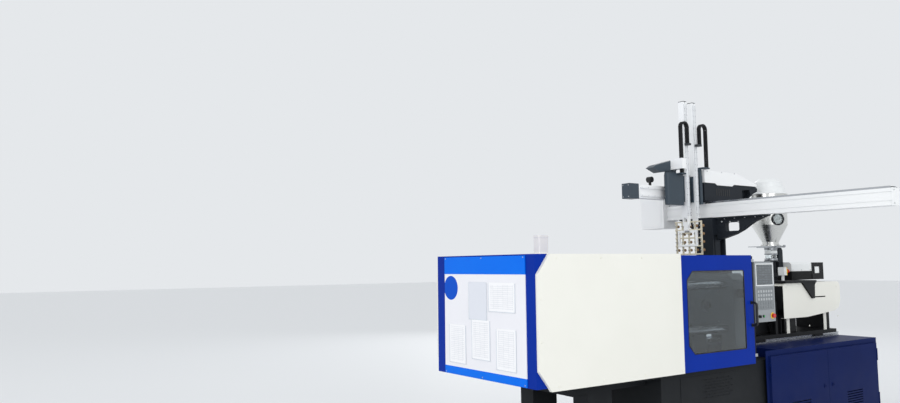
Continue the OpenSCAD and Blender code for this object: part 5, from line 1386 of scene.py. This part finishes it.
    def link(self, pitch: float) -> list[Vert]:
        """Adds one link about the origin: two side plates, two bars and its open inside.

        Args:
            pitch: The distance to the next link.

        Returns:
            The link's vertices.
        """
        half, wide, inset = self.chain_thick / 2, self.chain_width, self.bar_inset
        down, up = (pitch * share for share in self.plate_reach)
        reach = pitch * self.bar_reach
        made = []
        for y in (0.0, wide - self.plate):
            made += self.block((-half, y, -down), (half, y + self.plate, up), 1.6)
        for x in (-half, half - self.bar):
            made += self.block((x, inset, -reach), (x + self.bar, wide - inset, reach), 0.8)
        return made

    def chain_leg(self, unit: Unit, fixed: bool) -> None:
        """Builds one leg of a cable chain with its half of the bend.

        Both legs bend between the slide block and the arm: they meet at the top of the loop,
        where each follows half of the arm's travel, as a real chain's loop does.

        Args:
            unit: The arm and slide block that the chain joins.
            fixed: True for the leg on the slide block.
        """
        radius, top = self.chain_radius, self.chain_top
        middle_x = unit.chain_x + unit.bend * radius
        out = -unit.bend if fixed else unit.bend
        leg_x = middle_x + out * radius
        foot = unit.shelf_z if fixed else top - self.chain_drop
        count = round((top - foot) / self.chain_link)
        pitch = (top - foot) / count
        places = [((leg_x, self.chain_y, foot + pitch * (i + 0.5)), 0.0, pitch) for i in range(count)]
        step = math.pi / 2 / self.chain_turns
        for i in range(self.chain_turns):
            angle = (i + 0.5) * step
            x, z = middle_x + out * radius * math.cos(angle), top + radius * math.sin(angle)
            places.append(((x, self.chain_y, z), -out * angle, radius * step))
        name = f"{unit.name}_chain_{'fixed' if fixed else 'moving'}_leg"
        with self.piece(name, LINK_NYLON, "chain_plastic", "", f"{unit.name}_cable_chain") as piece:
            for centre, angle, length in places:
                place = Matrix.Translation(centre) @ Matrix.Rotation(angle, 4, "Y")
                bmesh.ops.transform(self.bm, matrix=place, verts=self.link(length))
        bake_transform(piece)

    def arm_trim(self, unit: Unit) -> None:
        """Adds an arm's two guide rails with their screws and the cover of its top end.

        Args:
            unit: The arm's unit.
        """
        wide, deep = (half - self.cap_inset for half in self.arm_half)
        low, high = self.arm_z
        back = -self.arm_half[1]
        face = back - self.rail_rise
        name, body = f"{unit.name}_arm", f"{unit.name}_arm_unit"
        lines = [unit.x + side * self.rail_out for side in SIDES]
        with self.piece(f"{name}_rails", RAIL_STEEL, "steel", body):
            for x in lines:
                foot = (x - self.rail_half, face, low + self.rail_ends[0])
                top = (x + self.rail_half, back + self.rail_sink, high - self.rail_ends[1])
                self.block(foot, top, 1.0)
        with self.piece(f"{name}_rail_screws", BLACK_OXIDE, "steel", body):
            first, pitch = self.rail_screw_z
            places = [(x, face, low + first + pitch * i) for x in lines for i in range(self.rail_screws)]
            self.heads(places, -ACROSS, RAIL_SCREW)
        with self.piece(f"{name}_cap", POST_COAT, "slate_paint", body):
            foot = high - self.cap_inset
            self.block((unit.x - wide, -deep, foot), (unit.x + wide, deep, high + self.cap_rise), 2.4, 3)

    def wrist(self) -> None:
        """Adds the valves and fittings above the wrist, which ride on the main arm."""
        x, low = self.main.x, self.arm_z[0]
        levels = [low + self.valve_foot + i * self.valve_pitch for i in range(self.valves)]
        with self.piece("wrist_valves", WHITE_RESIN, "arm_aluminium", "main_arm_unit"):
            self.block(*moved(self.valve_base, x, 0, low), 2.0)
            for z in levels:
                self.block(*moved(self.valve, x, 0, z), 2.0)
        with self.piece("wrist_fittings", BLACK_OXIDE, "steel", "main_arm_unit"):
            for z in levels:
                for y in self.fitting_y:
                    self.drum((x + self.nut_x, y, z + self.fitting_z), ALONG, *self.nut, 6, 0.6)
                    self.drum((x + self.collet_x, y, z + self.fitting_z), ALONG, *self.collet, 20, 1.0)

    def lattice(self) -> None:
        """Builds the gripper's grid of slotted bars with its rows of bellows cups.

        The grid is wider and taller than the solid's own frame, and hangs from it.
        """
        x, half, wrist = self.main.x + self.grid_out, self.grid_half, self.wrist_z
        low, high = (wrist + z for z in self.grid_z)
        across, tall = self.bar_half
        rise, gaps = high - low - 2 * across, self.bars - 1
        columns = [-half + across + i * 2 * (half - across) / gaps for i in range(self.bars)]
        rows = [low + across + i * rise / gaps for i in range(self.bars)]
        cups = [(y, (a + b) / 2) for y in columns for a, b in zip(rows, rows[1:])]
        with self.piece("gripper_grid", PROFILE_TAN, "arm_aluminium", "gripper_unit"):
            for y in columns:
                self.block((x, y - across, low), (x + self.column_deep, y + across, high), 1.6)
            back, front = (x + out for out in self.row_x)
            for z in rows:
                self.block((back, -half, z - tall), (front, half, z + tall), 1.6)
            self.block(*moved(self.hanger, x, 0, wrist), 2.0)
        with self.piece("gripper_cups", SILICONE, "chain_plastic", "gripper_unit"):
            for y, z in cups:
                points = [(x + self.cup_x + out, y + radius, z) for radius, out in self.cup_profile]
                self.spin(points, (0, y, z), ALONG, 20, closed=False)
        with self.piece("gripper_fittings", ZINC_BRIGHT, "steel", "gripper_unit"):
            for y, z in cups:
                self.drum((front, y, z), -ALONG, *self.cup_nut, 6, 0.6)
                self.drum((x + self.hose_x, y, z), -ALONG, *self.cup_hose, 16, 0.8)
            for y in columns[::2]:
                for z in rows:
                    self.drum((x + self.bar_screw_x, y, z), ALONG, *self.bar_screw, 16, 0.8)

    def beam_trim(self) -> None:
        """Adds the screws of the beam, its bracket and its rails, and the stops at both ends."""
        with self.piece("beam_screws", ZINC_BRIGHT, "steel"):
            x, z = self.beam_bolt_at
            self.heads([(x, y, z) for y in self.beam_bolts], -UP, BEAM_BOLT)
            x, z = self.bracket_bolt_at
            bracket = [(x, y, z + self.bracket_slope * y) for y in self.bracket_bolts]
            self.heads(bracket, -ALONG, BRACKET_BOLT)
            first, pitch = self.track_y
            along = [first + pitch * i for i in range(self.track_screws)]
            self.heads([(x, y, self.track_z) for x in self.track_x for y in along], UP, TRACK_SCREW)
            end = [(x, self.beam_end, z) for x in self.beam_end_x for z in self.beam_end_z]
            self.heads(end, -ACROSS, CAP_SCREW)
        with self.piece("beam_stops", RUBBER, "foot_rubber"):
            for y in self.stop_y:
                self.block(*moved(self.stop, 0, y, 0), 2.5)

    def carriage_trim(self) -> None:
        """Adds the lid's screws and the vents of the carriage, and the kick beam's screws."""
        with self.piece("carriage_lid_screws", ZINC_BRIGHT, "steel", "traverse_unit"):
            y, z = self.lid_screw_at
            self.heads([(x, y, z) for x in self.lid_screws], -ACROSS, LID_SCREW)
        with self.piece("carriage_vents", BLACK_NYLON, "slate_paint", "traverse_unit"):
            for i in range(self.vents):
                self.block(*moved(self.vent, i * self.vent_pitch, 0, 0), 1.0)
        with self.piece("kick_beam_screws", ZINC_BRIGHT, "steel", "traverse_unit"):
            cap = [(self.kick_cap_x, y, z) for y in self.kick_cap_y for z in self.kick_cap_z]
            self.heads(cap, -ALONG, CAP_SCREW)
            first, pitch = self.guide_x
            along = [first + pitch * i for i in range(self.guide_screws)]
            self.heads([(x, self.guide_y, z) for x in along for z in self.guide_z], -ACROSS, GUIDE_SCREW)

    def build(self) -> None:
        """Dresses the robot and adds the chains' links, rails, cups and screws."""
        self.dress(POST_COAT, "robot_post", "traverse_carriage")
        self.dress(SLATE_COAT.over("textured_coat_slate_with_duct", self.duct), "main_slide_block")
        self.dress(SLATE_COAT, "sub_slide_block")
        self.dress(PROFILE_Y.over("anodised_aluminium_beam_with_rails", *self.tracks), "traverse_beam")
        self.dress(WHITE_COAT.over("powder_coat_white_kick_beam", *self.kick), "kick_beam")
        self.dress(WHITE_COAT, "robot_control_box", "carriage_lid")
        self.dress(PROFILE_Z.over("anodised_aluminium_arms", *self.arms), "main_arm", "sub_arm")
        self.dress(PROFILE_Z.over("anodised_aluminium_gripper", self.cups), "gripper")
        for unit in (self.main, self.sub):
            for fixed in (True, False):
                self.chain_leg(unit, fixed)
            self.arm_trim(unit)
        self.wrist()
        self.lattice()
        self.beam_trim()
        self.carriage_trim()


@dataclass(frozen=True)
class Lamp:
    """A soft square lamp: its place and its target in millimetres, its side in metres, its watts."""

    name: str
    place: Point
    target: Point
    side: float
    power: float

    def hang(self) -> None:
        """Hangs the lamp and turns it to its target."""
        data = bpy.data.lights.new(self.name, "AREA")
        data.size = self.side
        data.energy = self.power
        lamp = enter(self.name, data)
        lamp.location = at(*self.place)
        lamp.rotation_mode = "QUATERNION"
        lamp.rotation_quaternion = (at(*self.target) - at(*self.place)).to_track_quat("-Z", "Y")


@dataclass
class Studio:
    """Pale floor, backdrop light, soft lamps and the camera."""

    camera_place: Point = (-3484.8, -4640.1, 1641.6)
    yaw: float = 55.465
    pitch: float = 4.922
    roll: float = -0.627
    focal_px: float = 747.2
    picture_px: float = 900.0
    sensor: float = 36.0
    sight_m: Span = (0.05, 300.0)
    floor_m: float = 120.0
    floor_colour: str = "#E4E6E8"
    floor_roughness: float = 0.55
    light: tuple[str, float] = ("#F4F6F8", 0.95)
    backdrop: tuple[str, float] = ("#E5E8EB", 1.0)
    lamps: tuple[Lamp, ...] = (
        Lamp("key_lamp", (-3000, -9500, 4400), (2400, 0, 1500), 6.0, 290.0),
        Lamp("end_lamp", (-19000, -2200, 5400), (1500, 0, 1600), 9.0, 620.0),
        Lamp("far_lamp", (8500, 8500, 5200), (2500, 0, 1400), 6.0, 180.0),
    )

    def camera(self) -> None:
        """Sets up the camera where the machine was seen from."""
        yaw, pitch, roll = (math.radians(v) for v in (self.yaw, self.pitch, self.roll))
        level = Vector((math.cos(yaw), math.sin(yaw), 0))
        ahead = level * math.cos(pitch) + UP * math.sin(pitch)
        right = Vector((math.sin(yaw), -math.cos(yaw), 0))
        up = right.cross(ahead)
        across = math.cos(roll) * right + math.sin(roll) * up
        upward = -math.sin(roll) * right + math.cos(roll) * up
        data = bpy.data.cameras.new("camera")
        data.sensor_width = self.sensor
        data.lens = self.focal_px / self.picture_px * self.sensor
        data.clip_start, data.clip_end = self.sight_m
        camera = enter("camera", data)
        turn = Matrix((across, upward, -ahead)).transposed().to_4x4()
        camera.matrix_world = Matrix.Translation(at(*self.camera_place)) @ turn
        bpy.context.scene.camera = camera
        LOG.info("camera: lens %.2f mm", data.lens)

    def floor(self) -> None:
        """Lays the plain pale floor."""
        bm = bmesh.new()
        bmesh.ops.create_grid(bm, x_segments=1, y_segments=1, size=self.floor_m / 2)
        mesh = bpy.data.meshes.new("floor")
        bm.to_mesh(mesh)
        bm.free()
        # Sealed concrete: even, pale and satin.
        material = bpy.data.materials.new("sealed_pale_floor")
        material.use_nodes = True
        tree = material.node_tree
        look = {"Base Color": linear(self.floor_colour), "Roughness": self.floor_roughness}
        feed(tree, tree.nodes["Principled BSDF"], look)
        mesh.materials.append(material)
        enter("floor", mesh)

    def world(self) -> None:
        """Sets the even light all round and the pale backdrop that camera, glass and metal see."""
        world = bpy.data.worlds.new("studio")
        bpy.context.scene.world = world
        world.use_nodes = True
        tree = world.node_tree
        tree.nodes.clear()
        rays = add(tree, "ShaderNodeLightPath").outputs
        shown = rays["Is Camera Ray"]
        for kind in ("Is Transmission Ray", "Is Glossy Ray"):
            shown = add(tree, MATH, {0: shown, 1: rays[kind]}, LARGER).outputs[0]
        light, seen = [
            add(tree, "ShaderNodeBackground", {"Color": linear(colour), "Strength": strength}).outputs[0]
            for colour, strength in (self.light, self.backdrop)
        ]
        both = add(tree, "ShaderNodeMixShader", {0: shown, 1: light, 2: seen}).outputs[0]
        add(tree, "ShaderNodeOutputWorld", {"Surface": both})

    def build(self) -> None:
        """Sets up the whole studio."""
        bpy.context.scene.view_settings.view_transform = "Standard"
        self.camera()
        self.floor()
        self.world()
        for lamp in self.lamps:
            lamp.hang()


def main() -> None:
    """Builds every sub-assembly in order."""
    logging.basicConfig(level=logging.INFO, format="%(name)s: %(message)s")
    for part in (Studio(), Bed(), Guards(), ClampUnit(), InjectionUnit(), OperatorPanel(), TakeOutRobot()):
        part.build()
        LOG.info("%s is done", type(part).__name__)
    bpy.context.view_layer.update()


if __name__ == "__main__":
    main()
